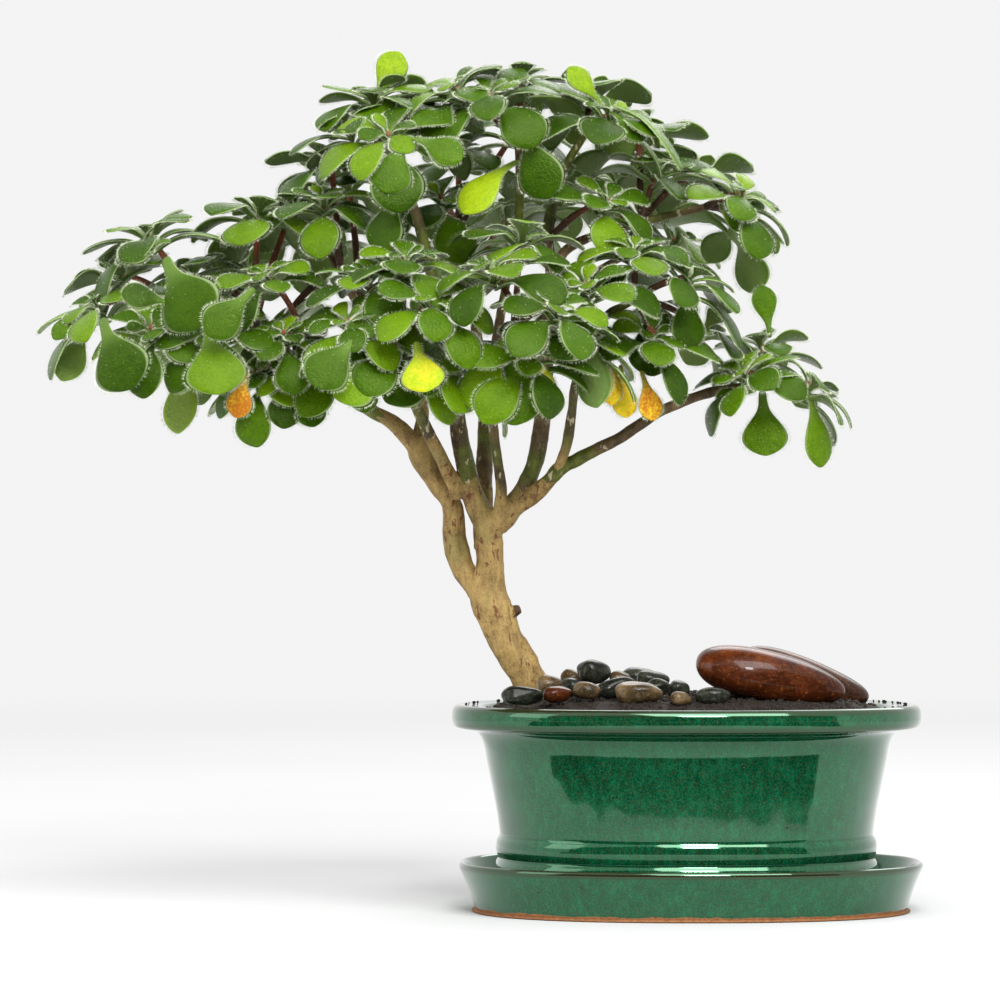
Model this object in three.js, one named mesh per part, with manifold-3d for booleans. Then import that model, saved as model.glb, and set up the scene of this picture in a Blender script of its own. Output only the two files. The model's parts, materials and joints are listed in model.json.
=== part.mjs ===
// A small tree trained in an oval glazed pot that stands in its drip saucer, with stones laid on the soil.
// Units are millimetres, +Z is up. The origin is the centre of the saucer's flat underside, the long axis of
// the pot lies along X, and the front of the tree faces -Y.
import * as THREE from "three";
import { mergeVertices } from "three/addons/utils/BufferGeometryUtils.js";
import Module from "manifold-3d";

const wasm = await Module();
wasm.setup();

// ---------- driving dimensions ----------

const GAP = 0.35; // clearance between two pieces that touch
const DEPTH_RATIO = 0.79; // depth of the pot and saucer over their length
const OVAL_POWER = 2.3; // 2 is an ellipse; more has flatter sides and rounder ends
const OVAL_STEPS = 32;

const SAUCER_HALF = 79.6; // half length over the saucer's crest
const SAUCER_HEIGHT = 16.8;
const SAUCER_FLOOR = 4.5;

const POT_X = -1.5; // the pot stands a little left of the saucer's centre
const POT_BASE = SAUCER_FLOOR + GAP;
const POT_HALF = 80.5; // half length over the rim
const POT_TOP = 70.7;
const POT_FLOOR = 10.5;
const POT_UNDER = 7; // height of the recessed underside inside the foot ring

const DRAIN_X = 30; // each drainage hole's distance from the pot's centre
const DRAIN_R = 6;
const NOTCH_X = 62; // the foot ring is notched at both ends, to let water out from under the pot
const NOTCH_SIZE = [30, 9, 3];
const SCREEN_SIDE = 21;
const SCREEN_THICK = 1.2;
const SCREEN_CELLS = 3;
const SCREEN_HOLE = 4;
const SCREEN_SAG = 0.3; // how far a screen lies off the pot's floor, beyond the usual clearance

const SOIL_TOP = 74;

const STEM_SIDES = 6;
const TWIG_SIDES = 5;
const TWIG_R = 1.1;
const LEAF_LENGTH = 34; // a full-grown leaf, stalk and blade
const LEAF_WIDTH = 0.56; // blade width over leaf length
const LEAF_THICK = 1.8;
const LEAVES_PER_TIP = 6; // the grown leaves of each rosette; the small ones at its heart fill the space between
const LEAF_TURNS = 13; // leaves from the oldest to the bud, of which the grown ones are the first
const GOLDEN_ANGLE = 2.39996; // turn from each leaf to the next round its shoot
const ROSETTE_DEPTH = 7; // how far below the shoot's tip the oldest leaf of a rosette starts

// ---------- colours ----------

const GLAZE = new THREE.MeshStandardMaterial({ color: "#0f5a44", roughness: 0.12 });
const SOIL = new THREE.MeshStandardMaterial({ color: "#2b211a", roughness: 1 });
const SCREEN = new THREE.MeshStandardMaterial({ color: "#26292b", roughness: 0.7 });
const BARK = new THREE.MeshStandardMaterial({ color: "#b08c5c", roughness: 0.85 });
const GREEN_BARK = new THREE.MeshStandardMaterial({ color: "#6b5a3a", roughness: 0.75 });
const LEAF = new THREE.MeshStandardMaterial({ color: "#4f8a2c", roughness: 0.45 });
const RED_STONE = new THREE.MeshStandardMaterial({ color: "#6b2418", roughness: 0.2 });
const BROWN_STONE = new THREE.MeshStandardMaterial({ color: "#5a4334", roughness: 0.3 });
const DARK_PEBBLE = new THREE.MeshStandardMaterial({ color: "#3a4038", roughness: 0.2 });
const TAN_PEBBLE = new THREE.MeshStandardMaterial({ color: "#8a6a45", roughness: 0.25 });

// ---------- closed solids ----------

function solidOf(geometry) {
  const bare = geometry.clone();
  bare.deleteAttribute("normal");
  bare.deleteAttribute("uv");
  const merged = mergeVertices(bare, 1e-3);
  return new wasm.Manifold(
    new wasm.Mesh({
      numProp: 3,
      vertProperties: merged.attributes.position.array,
      triVerts: new Uint32Array(merged.index.array),
    }),
  );
}

function geometryOf(solid) {
  const mesh = solid.getMesh();
  return new THREE.BufferGeometry()
    .setAttribute("position", new THREE.BufferAttribute(mesh.vertProperties, 3))
    .setIndex(new THREE.BufferAttribute(mesh.triVerts, 1))
    .toNonIndexed();
}

// The biggest of the separate bodies that a cut leaves.
function largest(solid) {
  return solid.decompose().reduce((best, body) => (body.volume() > best.volume() ? body : best));
}

// Whether the boxes of two solids come within a millimetre of each other.
function near(a, b) {
  const p = a.boundingBox();
  const q = b.boundingBox();
  return [0, 1, 2].every((i) => p.min[i] < q.max[i] + 1 && q.min[i] < p.max[i] + 1);
}

// A solid cut clear of others, each given as its slightly enlarged self.
function clearOf(solid, others) {
  return others.filter((other) => near(solid, other)).reduce((rest, other) => rest.subtract(other), solid);
}

// A closed skin through rings of points that all turn the same way, with flat ends.
function loft(rings) {
  const count = rings[0].length;
  const points = rings.flat();
  const faces = [];
  for (let start = 0; start < points.length - count; start += count) {
    for (let i = 0; i < count; i++) {
      const here = start + i;
      const next = start + ((i + 1) % count);
      faces.push(here, next, next + count, here, next + count, here + count);
    }
  }
  const last = points.length - count;
  for (let i = 1; i < count - 1; i++) faces.push(0, i + 1, i, last, last + i, last + i + 1);
  const geometry = new THREE.BufferGeometry().setFromPoints(points).setIndex(faces);
  return solidOf(geometry);
}

// A solid whose level sections are all ovals, from a profile of [half length, height, half depth] points that
// starts under it and ends on top of it. A point without a half depth takes it from the usual ratio. At each turn
// angle, X and Y are the half sizes times powers of the cosine and sine.
function oval(profile) {
  const share = (value) => Math.sign(value) * Math.abs(value) ** (2 / OVAL_POWER);
  const rings = profile.map(([length, height, depth = length * DEPTH_RATIO]) =>
    Array.from({ length: OVAL_STEPS }, (_, side) => {
      const turn = (2 * Math.PI * side) / OVAL_STEPS;
      return new THREE.Vector3(length * share(Math.cos(turn)), depth * share(Math.sin(turn)), height);
    }),
  );
  return loft(rings);
}

// A round stem through [x, y, z, radius] points, thickened and lengthened all over by extra.
function stem(points, sides = STEM_SIDES, extra = 0) {
  const curve = new THREE.CatmullRomCurve3(points.map(([x, y, z]) => new THREE.Vector3(x, y, z)));
  const steps = points.length - 1;
  const frames = curve.computeFrenetFrames(steps, false);
  const rings = points.map(([, , , radius], i) => {
    const centre = curve.getPoint(i / steps);
    if (i === 0) centre.addScaledVector(frames.tangents[i], -extra);
    if (i === steps) centre.addScaledVector(frames.tangents[i], extra);
    return Array.from({ length: sides }, (_, side) => {
      const turn = (2 * Math.PI * side) / sides;
      return centre
        .clone()
        .addScaledVector(frames.normals[i], (radius + extra) * Math.cos(turn))
        .addScaledVector(frames.binormals[i], (radius + extra) * Math.sin(turn));
    });
  });
  return loft(rings);
}

const root = new THREE.Group();
const built = []; // every finished solid, for the pieces made after it to keep clear of

function addNode(name, solid, material) {
  const mesh = new THREE.Mesh(geometryOf(solid), material);
  mesh.name = name;
  root.add(mesh);
  built.push(solid);
}

// ---------- saucer and pot ----------

function makeSaucer() {
  return oval([
    [73.6, 0],
    [74.6, 2],
    [76.2, 7],
    [78.2, 12],
    [SAUCER_HALF, 15.4],
    [79, SAUCER_HEIGHT],
    [77.4, 16.4],
    [75.6, 11],
    [73.6, 6.2],
    [71, SAUCER_FLOOR],
  ]);
}

function makePot() {
  // The wall flares more at its ends than at its front and back, where it is nearly upright up to the lip.
  const shell = oval([
    [53, POT_UNDER],
    [54.5, POT_BASE],
    [61, POT_BASE],
    [65, 10, 52.6],
    [65.8, 16, 53.3],
    [64.7, 18.4, 52.4],
    [65.4, 21.5, 53],
    [64, 25.8, 52.2],
    [65.1, 34.3, 52.5],
    [67.2, 45, 52.9],
    [69.4, 55.6, 53.8],
    [72.2, 61.4, 56.8],
    [78.6, 62.6, 61.8],
    [POT_HALF, 64.8],
    [POT_HALF, 68.6],
    [78.6, POT_TOP],
    [70.4, 70, 55],
    [68.4, 66, 52.8],
    [66, 55, 50.4],
    [62, 34, 48.6],
    [60, 14, 47],
    [57, POT_FLOOR],
  ]).translate([POT_X, 0, 0]);
  const drain = new THREE.CylinderGeometry(DRAIN_R, DRAIN_R, 2 * POT_FLOOR, 16).rotateX(Math.PI / 2);
  const notch = new THREE.BoxGeometry(...NOTCH_SIZE);
  const cuts = [-1, 1].flatMap((side) => [
    solidOf(drain).translate([POT_X + side * DRAIN_X, 0, POT_FLOOR]),
    solidOf(notch).translate([POT_X + side * NOTCH_X, 0, POT_BASE]),
  ]);
  return cuts.reduce((pot, cut) => pot.subtract(cut), shell);
}

// A square sheet of square holes that lies over a drainage hole.
function makeScreen(side) {
  const pitch = SCREEN_SIDE / SCREEN_CELLS;
  const middle = (SCREEN_CELLS - 1) / 2;
  const sheet = solidOf(new THREE.BoxGeometry(SCREEN_SIDE, SCREEN_SIDE, SCREEN_THICK));
  const hole = solidOf(new THREE.BoxGeometry(SCREEN_HOLE, SCREEN_HOLE, 2 * SCREEN_THICK));
  const holes = Array.from({ length: SCREEN_CELLS ** 2 }, (_, cell) => {
    const x = ((cell % SCREEN_CELLS) - middle) * pitch;
    const y = (Math.floor(cell / SCREEN_CELLS) - middle) * pitch;
    return hole.translate([x, y, 0]);
  });
  return holes.reduce((rest, cut) => rest.subtract(cut), sheet).translate(screenPlace(side));
}

// The room that a screen takes up in the soil.
function screenBed(side) {
  const wide = SCREEN_SIDE + 2 * GAP;
  return solidOf(new THREE.BoxGeometry(wide, wide, SCREEN_THICK + 2 * GAP)).translate(screenPlace(side));
}

function screenPlace(side) {
  return [POT_X + side * DRAIN_X, 0, POT_FLOOR + GAP + SCREEN_SAG + SCREEN_THICK / 2];
}

addNode("saucer", makeSaucer(), GLAZE);
addNode("pot", makePot(), GLAZE);
addNode("drain_screen_left", makeScreen(-1), SCREEN);
addNode("drain_screen_right", makeScreen(1), SCREEN);

// ---------- wood ----------

// Each stem as [x, y, z, radius] points from its foot to its end. A limb starts inside the wood that it grows
// from and is cut to its surface.
const TRUNK = [
  [-47, 0, 52, 8.6],
  [-50, -1, 66, 8],
  [-52.5, -1, 72, 6.6],
  [-56, -2, 80, 6.1],
  [-63, -3, 92, 5.9],
  [-67.5, -3, 102, 6.4],
  [-69.5, -3, 109, 5.8],
  [-69, -3, 118, 4.7],
  [-69, -3, 127, 4.8],
  [-69, -3, 135, 4.6],
];
const LEFT_STEM = [
  [-67, -2, 100, 3.6],
  [-72, 0, 109, 4.2],
  [-78, 1, 117, 4.1],
  [-81, 2, 127, 4.4],
  [-82, 1, 139, 3.6],
  [-87, 0, 147, 3.8],
  [-92, -1, 155, 4],
  [-95, -2, 162, 3.4],
];
const STUB = [
  [-64, -4, 101, 2.6],
  [-60.4, -5, 102.6, 2],
  [-58.6, -5.6, 103.4, 1.6],
];
const LIMBS = {
  limb_centre: [
    [
      [-70, -3, 132, 3.8],
      [-75, -4, 143, 3.5],
      [-78, -6, 156, 3.1],
      [-80, -8, 168, 2.9],
      [-82, -9, 180, 2.6],
      [-85, -10, 196, 2.3],
      [-88, -10, 214, 2],
      [-92, -11, 231, 1.8],
      [-97, -12, 247, 1.6],
      [-100, -13, 258, 1.4],
    ],
  ],
  limb_upper_right: [
    [
      [-67, -3, 132, 4],
      [-60, -4, 140, 3.4],
      [-55, -5, 149, 3],
      [-52, -6, 160, 2.8],
      [-50, -8, 180, 2.5],
      [-49, -6, 200, 2.2],
      [-48, -4, 218, 2],
      [-49, -4, 234, 1.8],
      [-45, -6, 250, 1.6],
      [-36, -9, 267, 1.3],
    ],
    [
      [-48, -4, 214, 1.8],
      [-43, -2, 226, 1.7],
      [-31, 0, 232, 1.6],
      [-13, 0, 237, 1.4],
      [5, -4, 241, 1.2],
    ],
  ],
  limb_right: [
    [
      [-60, -4, 138, 2.6],
      [-52, -8, 144, 2.6],
      [-45, -10, 151, 2.4],
      [-36, -12, 156, 2.2],
      [-24, -12, 162, 2],
      [-12, -12, 170, 1.9],
      [2, -12, 176, 1.7],
      [15, -12, 179, 1.4],
      [28, -11, 179, 1.2],
    ],
  ],
  limb_right_front: [
    [
      [-46, -10, 150, 1.7],
      [-42.5, -15, 160, 1.7],
      [-41, -18, 170, 1.6],
      [-39, -23, 182, 1.5],
      [-31, -28, 201, 1.4],
      [-20, -30, 208, 1.2],
    ],
  ],
  limb_thin: [
    [
      [-66, -5, 134, 1.8],
      [-65, -8, 144, 1.8],
      [-66.5, -11, 156, 1.7],
      [-68, -13, 172, 1.7],
      [-67, -11, 192, 1.6],
      [-63, -6, 216, 1.5],
      [-59, -6, 236, 1.4],
      [-59, -8, 262, 1.2],
    ],
    [
      [-68, -13, 170, 1.5],
      [-66, -28, 183, 1.4],
      [-62, -42, 193, 1.3],
      [-58, -54, 200, 1.1],
    ],
  ],
  limb_back: [
    [
      [-71, 0, 124, 3],
      [-71, 9, 138, 3.2],
      [-71, 16, 153, 2.8],
      [-71, 24, 172, 2.2],
      [-73, 36, 195, 1.9],
      [-77, 46, 216, 1.6],
      [-80, 51, 234, 1.3],
    ],
  ],
  limb_back_right: [
    [
      [-71, 23, 170, 1.8],
      [-65, 34, 186, 1.7],
      [-51, 47, 204, 1.5],
      [-35, 58, 219, 1.4],
      [-20, 63, 228, 1.2],
    ],
  ],
  limb_back_left: [
    [
      [-72, 32, 188, 1.7],
      [-86, 46, 200, 1.6],
      [-107, 58, 211, 1.4],
      [-131, 63, 217, 1.2],
    ],
  ],
  limb_left: [
    [
      [-94, -2, 159, 2.8],
      [-102, -4, 167, 2.5],
      [-111, -6, 172, 2.3],
      [-122, -8, 180, 2.1],
      [-135, -8, 189, 1.9],
      [-149, -6, 197, 1.7],
      [-163, -4, 203, 1.5],
      [-175, -4, 206, 1.2],
    ],
  ],
  limb_upper_left: [
    [
      [-94, -1, 160, 1.9],
      [-92, 3, 172, 1.9],
      [-97, 6, 185, 1.8],
      [-106, 6, 196, 1.6],
      [-115, 2, 209, 1.5],
      [-120, -3, 220, 1.3],
    ],
  ],
  limb_front_left: [
    [
      [-79, -3, 142, 2.3],
      [-86, -11, 156, 2.1],
      [-92, -17, 168, 2],
      [-97, -25, 181, 1.8],
      [-101, -33, 192, 1.5],
      [-107, -40, 196, 1.2],
    ],
  ],
};

function joined(lines, extra) {
  return wasm.Manifold.union(lines.map((line) => stem(line, STEM_SIDES, extra)));
}

const TRUNK_LINES = [TRUNK, LEFT_STEM, STUB];
const wood = [joined(TRUNK_LINES, GAP)];
addNode("trunk", joined(TRUNK_LINES, 0), BARK);
for (const [name, lines] of Object.entries(LIMBS)) {
  addNode(name, largest(clearOf(joined(lines, 0), wood)), GREEN_BARK);
  wood.push(joined(lines, GAP));
}

// ---------- stones and soil ----------

// Each stone as [name, centre, half sizes, tilt about Y, turn about Z, material]; a positive tilt sinks its +X end.
const STONES = [
  ["stone_front", [26, -22, 80.6], [25.6, 11.5, 8.6], 0.2, 0.06, RED_STONE],
  ["stone_rear", [40, 7, 79.3], [23.5, 9, 6.6], 0.33, -0.12, BROWN_STONE],
  ["pebble_01", [-58, -38, 74.8], [6.8, 4.6, 3.3], 0, 0.1, DARK_PEBBLE],
  ["pebble_02", [-48.4, -22, 77.6], [4.5, 4.2, 3.6], 0.2, 0, TAN_PEBBLE],
  ["pebble_03", [-46, -35, 75.2], [5, 4, 2.7], -0.1, 0.2, RED_STONE],
  ["pebble_04", [-40.6, 2, 78.6], [4, 4, 3.6], 0, 0, TAN_PEBBLE],
  ["pebble_05", [-33.2, -8.4, 81.8], [5.4, 5, 4.2], 0.1, 0.3, DARK_PEBBLE],
  ["pebble_06", [-40.4, -12.8, 77], [4, 3.8, 3], 0, 0.4, DARK_PEBBLE],
  ["pebble_07", [-36, -31, 76.2], [4.8, 4.2, 2.9], 0.15, -0.2, TAN_PEBBLE],
  ["pebble_08", [-26, -21.6, 77], [7.6, 4, 3.1], -0.3, 0.2, DARK_PEBBLE],
  ["pebble_09", [-18.6, -36, 75.4], [8, 5.2, 3.9], 0, 0, TAN_PEBBLE],
  ["pebble_10", [-24.4, -5, 79.4], [3.6, 3.6, 2.6], 0, 0, TAN_PEBBLE],
  ["pebble_11", [-17, 8.6, 79.4], [7, 4.6, 3.4], 0.1, -0.1, DARK_PEBBLE],
  ["pebble_12", [-13, -3.4, 79], [6, 4, 3], 0.12, 0.2, DARK_PEBBLE],
  ["pebble_13", [-11.6, -14.6, 76.8], [4, 3.8, 2.9], 0, 0, DARK_PEBBLE],
  ["pebble_14", [-4.8, -23, 76.2], [3.6, 3.8, 3.2], 0, 0.3, DARK_PEBBLE],
  ["pebble_15", [-4.6, -43, 73.8], [3.7, 3, 2.3], 0.1, 0.5, TAN_PEBBLE],
  ["pebble_16", [6.2, -39, 74.6], [6, 4.2, 3], -0.1, -0.1, DARK_PEBBLE],
];
const BIG_STONE = 12; // a stone with a longer half size than this gets a finer surface
const EGG = 0.16; // how much a stone narrows towards its +X end

function makeStone([, centre, half, tilt, turn], extra = 0) {
  const geometry = new THREE.IcosahedronGeometry(1, half[0] > BIG_STONE ? 2 : 1);
  const position = geometry.attributes.position;
  for (let i = 0; i < position.count; i++) {
    const narrow = 1 - EGG * position.getX(i);
    position.setXYZ(
      i,
      position.getX(i) * (half[0] + extra),
      position.getY(i) * (half[1] + extra) * narrow,
      position.getZ(i) * (half[2] + extra) * narrow,
    );
  }
  geometry.rotateY(tilt).rotateZ(turn).translate(...centre);
  return solidOf(geometry);
}

const bedded = [];
for (const stone of STONES) {
  const shape = clearOf(makeStone(stone), [...bedded, ...wood]);
  addNode(stone[0], largest(shape), stone[5]);
  bedded.push(makeStone(stone, GAP));
}

function makeSoil() {
  const mass = oval([
    [56, 11],
    [59.4, 14.4, 46.4],
    [61.4, 34.2, 48],
    [65.4, 55, 49.8],
    [67.8, 66, 52.2],
    [68.2, 68.4, 52.6],
    [58, 71.4],
    [32, 73.2],
    [10, SOIL_TOP],
  ]).translate([POT_X, 0, 0]);
  return largest(clearOf(mass, [...bedded, ...wood, screenBed(-1), screenBed(1)]));
}

addNode("soil", makeSoil(), SOIL);

// ---------- leafy branches ----------

// Each branch as the point on its limb where its twigs start, then the rosettes that they end in, each as
// [x, y, z, size], where size 1 has full-grown leaves.
const BRANCHES = [
  [[-175, -4, 206], [-203, -12, 207, 1], [-198, 18, 219, 0.95], [-183, -35, 198, 0.95]],
  [[-170, -4, 205], [-186, -8, 231, 1], [-181, 30, 197, 0.9]],
  [[-160, -4, 202], [-172, 6, 219, 0.8], [-166, 12, 194, 0.8], [-159, -40, 198, 0.9]],
  [[-150, -6, 197.5], [-148, -4, 239, 1], [-137, 10, 240, 0.9]],
  [[-134, -8, 188.4], [-138, -38, 197, 0.7], [-135, -30, 186, 0.7], [-148, -26, 184, 0.85]],
  [[-147, -6, 196], [-164, 34, 218, 1], [-172, 56, 208, 1]],
  [[-126, -8, 183], [-144, -34, 217, 0.75], [-116, -30, 187, 0.9]],
  [[-120, -3, 220], [-126, -15, 243, 0.9], [-124, 8, 258, 0.9]],
  [[-113, 3, 206], [-119, 44, 252, 1], [-137, 44, 238, 1]],
  [[-107, -40, 196], [-116, -58, 200, 0.8], [-110, -47, 216, 0.85], [-97, -54, 190, 1]],
  [[-99, -29, 187], [-97, -50, 221, 0.9], [-88, -66, 207, 0.9], [-78, -46, 186, 1]],
  [[-100, -13, 258], [-109, -4, 278, 0.9], [-103, -34, 264, 1], [-90, 16, 273, 1], [-118, -12, 267, 0.9]],
  [[-59, -8, 262], [-69, -26, 278, 1], [-58, 0, 285, 0.85], [-81, -18, 281, 0.9]],
  [[-58, -54, 200], [-69, -63, 217, 1], [-46, -74, 204, 0.9], [-54, -62, 188, 0.95]],
  [[-61, -44, 194.5], [-58, -42, 229, 0.9], [-36, -50, 194, 0.95]],
  [[-36, -9, 267], [-27, -15, 272, 0.95], [-34, 17, 278, 0.95]],
  [[-17, -0.5, 236], [-11, 4, 254, 0.9], [-17, 30, 267, 1], [4, 28, 254, 1]],
  [[5, -4, 241], [18, -10, 245, 0.85], [16, 14, 237, 0.85]],
  [[-48.5, -4, 230], [-29, -24, 242, 0.9], [-45, 22, 248, 0.9], [-65, 10, 236, 0.85]],
  [[28, -11, 179], [41, -10, 180, 0.85], [24, -2, 194, 0.75], [17, -24, 184, 0.8]],
  [[-20, -30, 208], [-1, -34, 216, 0.95], [-20, -38, 225, 0.85], [-37, -58, 212, 0.85], [-14, -40, 196, 0.9],
    [4, -12, 199, 0.9]],
  [[-80, 51, 234], [-80, 56, 263, 1], [-58, 46, 272, 1], [-86, 22, 246, 0.9]],
  [[-76, 44, 212], [-88, 88, 231, 1], [-64, 86, 240, 1]],
  [[-20, 63, 228], [-2, 64, 233, 1], [-24, 72, 254, 1]],
  [[-131, 63, 217], [-155, 72, 222, 1], [-127, 80, 236, 1], [-143, 62, 203, 0.9]],
];
const UP = new THREE.Vector3(0, 0, 1);
const BACK = new THREE.Vector3(0, 1, 0);
const TWIG_LIFT = 0.15; // how far a twig's middle bows up, over its length

// Rings along a leaf from its foot to its tip: share of the length, share of the half width, share of the thickness.
const LEAF_RINGS = [
  [0, 0.16, 0.5],
  [0.46, 0.2, 0.6],
  [0.77, 1, 1],
  [1, 0.44, 0.4],
];

// Repeatable numbers from 0 to 1, one for each whole number.
function chance(n) {
  const value = Math.sin(n * 12.9898) * 43758.5453;
  return value - Math.floor(value);
}

// A twig's line from its start to its tip, and the axis that the rosette on it grows round.
function twigLine(start, tip) {
  const from = new THREE.Vector3(...start);
  const to = new THREE.Vector3(...tip);
  const middle = from.clone().lerp(to, 0.5).addScaledVector(UP, TWIG_LIFT * from.distanceTo(to));
  const axis = to.clone().sub(middle).normalize().multiplyScalar(0.6).addScaledVector(UP, 0.8).normalize();
  return { from, middle, to, axis };
}

function twig({ from, middle, to }, extra = 0) {
  const curve = new THREE.QuadraticBezierCurve3(from, middle, to);
  return stem(curve.getPoints(2).map((p) => [p.x, p.y, p.z, TWIG_R]), TWIG_SIDES, extra);
}

// One spoon-shaped leaf. Its midline is an arc in the plane of the shoot's axis and the outward direction, and
// its angle from the axis goes evenly from lift at the foot to fall at the tip. Its section is flat on top.
function leafSolid(leaf, extra = 0, rings = LEAF_RINGS) {
  const { foot, axis, across, along, turn, length, lift, fall } = leaf;
  const outward = across.clone().multiplyScalar(Math.cos(turn)).addScaledVector(along, Math.sin(turn));
  const side = outward.clone().cross(axis);
  const bend = fall - lift;
  const sections = rings.map(([share, wide, thick]) => {
    const angle = lift + bend * share;
    const rise = (length * (Math.sin(angle) - Math.sin(lift))) / bend;
    const reach = (length * (Math.cos(lift) - Math.cos(angle))) / bend;
    const centre = foot.clone().addScaledVector(axis, rise).addScaledVector(outward, reach);
    const normal = axis.clone().multiplyScalar(Math.sin(angle)).addScaledVector(outward, -Math.cos(angle));
    const halfWidth = (wide * LEAF_WIDTH * length) / 2 + extra;
    return [
      centre.clone().addScaledVector(side, halfWidth).addScaledVector(normal, extra),
      centre.clone().addScaledVector(normal, -LEAF_THICK * thick - extra),
      centre.clone().addScaledVector(side, -halfWidth).addScaledVector(normal, extra),
    ];
  });
  return loft(sections);
}

// The grown leaves of one rosette, spiralling up the last of the twig, the oldest lowest and longest.
function rosette({ to, axis }, size, seed) {
  const across = BACK.clone().cross(axis).normalize();
  const along = axis.clone().cross(across);
  return Array.from({ length: LEAVES_PER_TIP }, (_, k) => {
    const age = 1 - k / LEAF_TURNS;
    return {
      foot: to.clone().addScaledVector(axis, -ROSETTE_DEPTH * age),
      axis,
      across,
      along,
      turn: GOLDEN_ANGLE * k + 2 * Math.PI * chance(seed),
      length: LEAF_LENGTH * size * (0.5 + 0.4 * age + 0.1 * chance(seed + 3 * k + 1)),
      lift: 0.25 + 0.75 * age,
      fall: 1.1 + 1.15 * age + 0.6 * chance(seed + 3 * k + 2),
    };
  });
}

const branches = BRANCHES.map(([start, ...tips], i) => {
  const lines = tips.map((tip) => twigLine(start, tip.slice(0, 3)));
  const leaves = lines.flatMap((line, j) => rosette(line, tips[j][3], 100 * i + 31 * j + 7));
  return { lines, leaves };
});

// The twigs first, each clear of the wood, of the stones and of the twigs before it.
const guards = [...wood];
for (const branch of branches) {
  const solid = wasm.Manifold.union(branch.lines.map((line) => twig(line)));
  branch.solid = largest(clearOf(solid, guards));
  guards.push(wasm.Manifold.union(branch.lines.map((line) => twig(line, GAP))));
}

// Then the leaves. A leaf is turned and drooped a little more, until it is clear of other branches and its blade
// is clear of its own branch too; one that finds no room is left out.
const TRIES = 5;
const BLADE_RINGS = LEAF_RINGS.slice(1);
const hits = (solid, other) => near(solid, other) && solid.intersect(other).volume() > 0;

function growLeaf(branch, others, leaf) {
  for (let attempt = 0; attempt < TRIES; attempt++) {
    const tried = { ...leaf, turn: leaf.turn + 0.4 * attempt, fall: leaf.fall + 0.12 * attempt };
    const roomy = leafSolid(tried, GAP);
    if (others.some((other) => hits(roomy, other))) continue;
    if (hits(leafSolid(tried, GAP, BLADE_RINGS), branch.solid)) continue;
    const grown = branch.solid.add(leafSolid(tried));
    if (grown.decompose().length > 1) continue;
    branch.solid = grown;
    return;
  }
}

branches.forEach((branch, i) => {
  const others = [...built, ...branches.filter((other) => other !== branch).map((other) => other.solid)];
  for (const leaf of branch.leaves) growLeaf(branch, others, leaf);
  addNode(`leafy_branch_${String(i + 1).padStart(2, "0")}`, branch.solid, LEAF);
});

export default root;
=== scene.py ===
# %% [markdown]
# # A little tree in a glazed bonsai pot
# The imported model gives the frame: a pot on its saucer, soil, stones, the wood of the tree and its leafy
# branches, each as a plain solid in its real place. This notebook grows the fine surface over each of them:
# glaze, bark, polished stone and fleshy leaves with their fringe of hairs. Lengths are in metres, +Z is up,
# the front of the tree faces -Y, and MM turns millimetres into metres.

# %% Load the frame
import json
import bpy
import numpy as np
from mathutils.kdtree import KDTree
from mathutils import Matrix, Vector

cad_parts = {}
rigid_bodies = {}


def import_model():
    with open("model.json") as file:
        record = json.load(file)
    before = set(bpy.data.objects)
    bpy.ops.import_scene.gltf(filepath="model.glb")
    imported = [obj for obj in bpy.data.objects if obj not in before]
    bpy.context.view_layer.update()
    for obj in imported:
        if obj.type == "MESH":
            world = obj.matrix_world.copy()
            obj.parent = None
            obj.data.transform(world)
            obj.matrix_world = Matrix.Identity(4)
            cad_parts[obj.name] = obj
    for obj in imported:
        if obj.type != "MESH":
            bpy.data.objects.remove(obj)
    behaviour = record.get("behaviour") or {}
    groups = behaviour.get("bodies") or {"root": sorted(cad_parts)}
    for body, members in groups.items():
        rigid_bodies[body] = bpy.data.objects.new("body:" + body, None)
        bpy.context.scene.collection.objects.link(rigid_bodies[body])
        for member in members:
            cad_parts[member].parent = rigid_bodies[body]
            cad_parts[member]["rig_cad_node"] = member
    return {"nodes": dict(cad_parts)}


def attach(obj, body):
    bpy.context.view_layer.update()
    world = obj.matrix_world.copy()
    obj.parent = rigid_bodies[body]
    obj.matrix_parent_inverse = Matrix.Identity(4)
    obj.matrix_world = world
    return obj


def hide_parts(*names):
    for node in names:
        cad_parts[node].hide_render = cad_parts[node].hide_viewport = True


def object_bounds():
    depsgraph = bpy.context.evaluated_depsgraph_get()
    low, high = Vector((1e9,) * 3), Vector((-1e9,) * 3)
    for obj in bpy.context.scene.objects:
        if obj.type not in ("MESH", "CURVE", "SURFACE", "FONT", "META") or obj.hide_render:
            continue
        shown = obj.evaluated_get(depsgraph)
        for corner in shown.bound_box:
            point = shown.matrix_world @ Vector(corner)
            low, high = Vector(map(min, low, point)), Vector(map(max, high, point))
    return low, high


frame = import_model()
cad_low, cad_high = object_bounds()
MM = 0.001
print("CAD box", [round(v, 4) for v in cad_low], [round(v, 4) for v in cad_high])

# %% [markdown]
# ## The camera
# The tree is looked at from the front, from a little below the crown, through a long lens, so the pot's rim
# shows as a thin oval and nothing leans. The lens comes from the width of the view at the pot.

# %% Camera
CAMERA_PLACE = (-0.0654, -1.85, 0.1382)
VIEW_WIDTH = 0.3433
camera_data = bpy.data.cameras.new("camera")
camera_data.lens = camera_data.sensor_width * -CAMERA_PLACE[1] / VIEW_WIDTH
camera_data.shift_y = 0.007
camera = bpy.data.objects.new("camera", camera_data)
camera.location = CAMERA_PLACE
camera.rotation_euler = (np.pi / 2, 0, 0)
bpy.context.scene.collection.objects.link(camera)
bpy.context.scene.camera = camera
bpy.context.scene.view_settings.view_transform = "Standard"
print("lens", round(camera_data.lens, 1), "mm")

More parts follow.
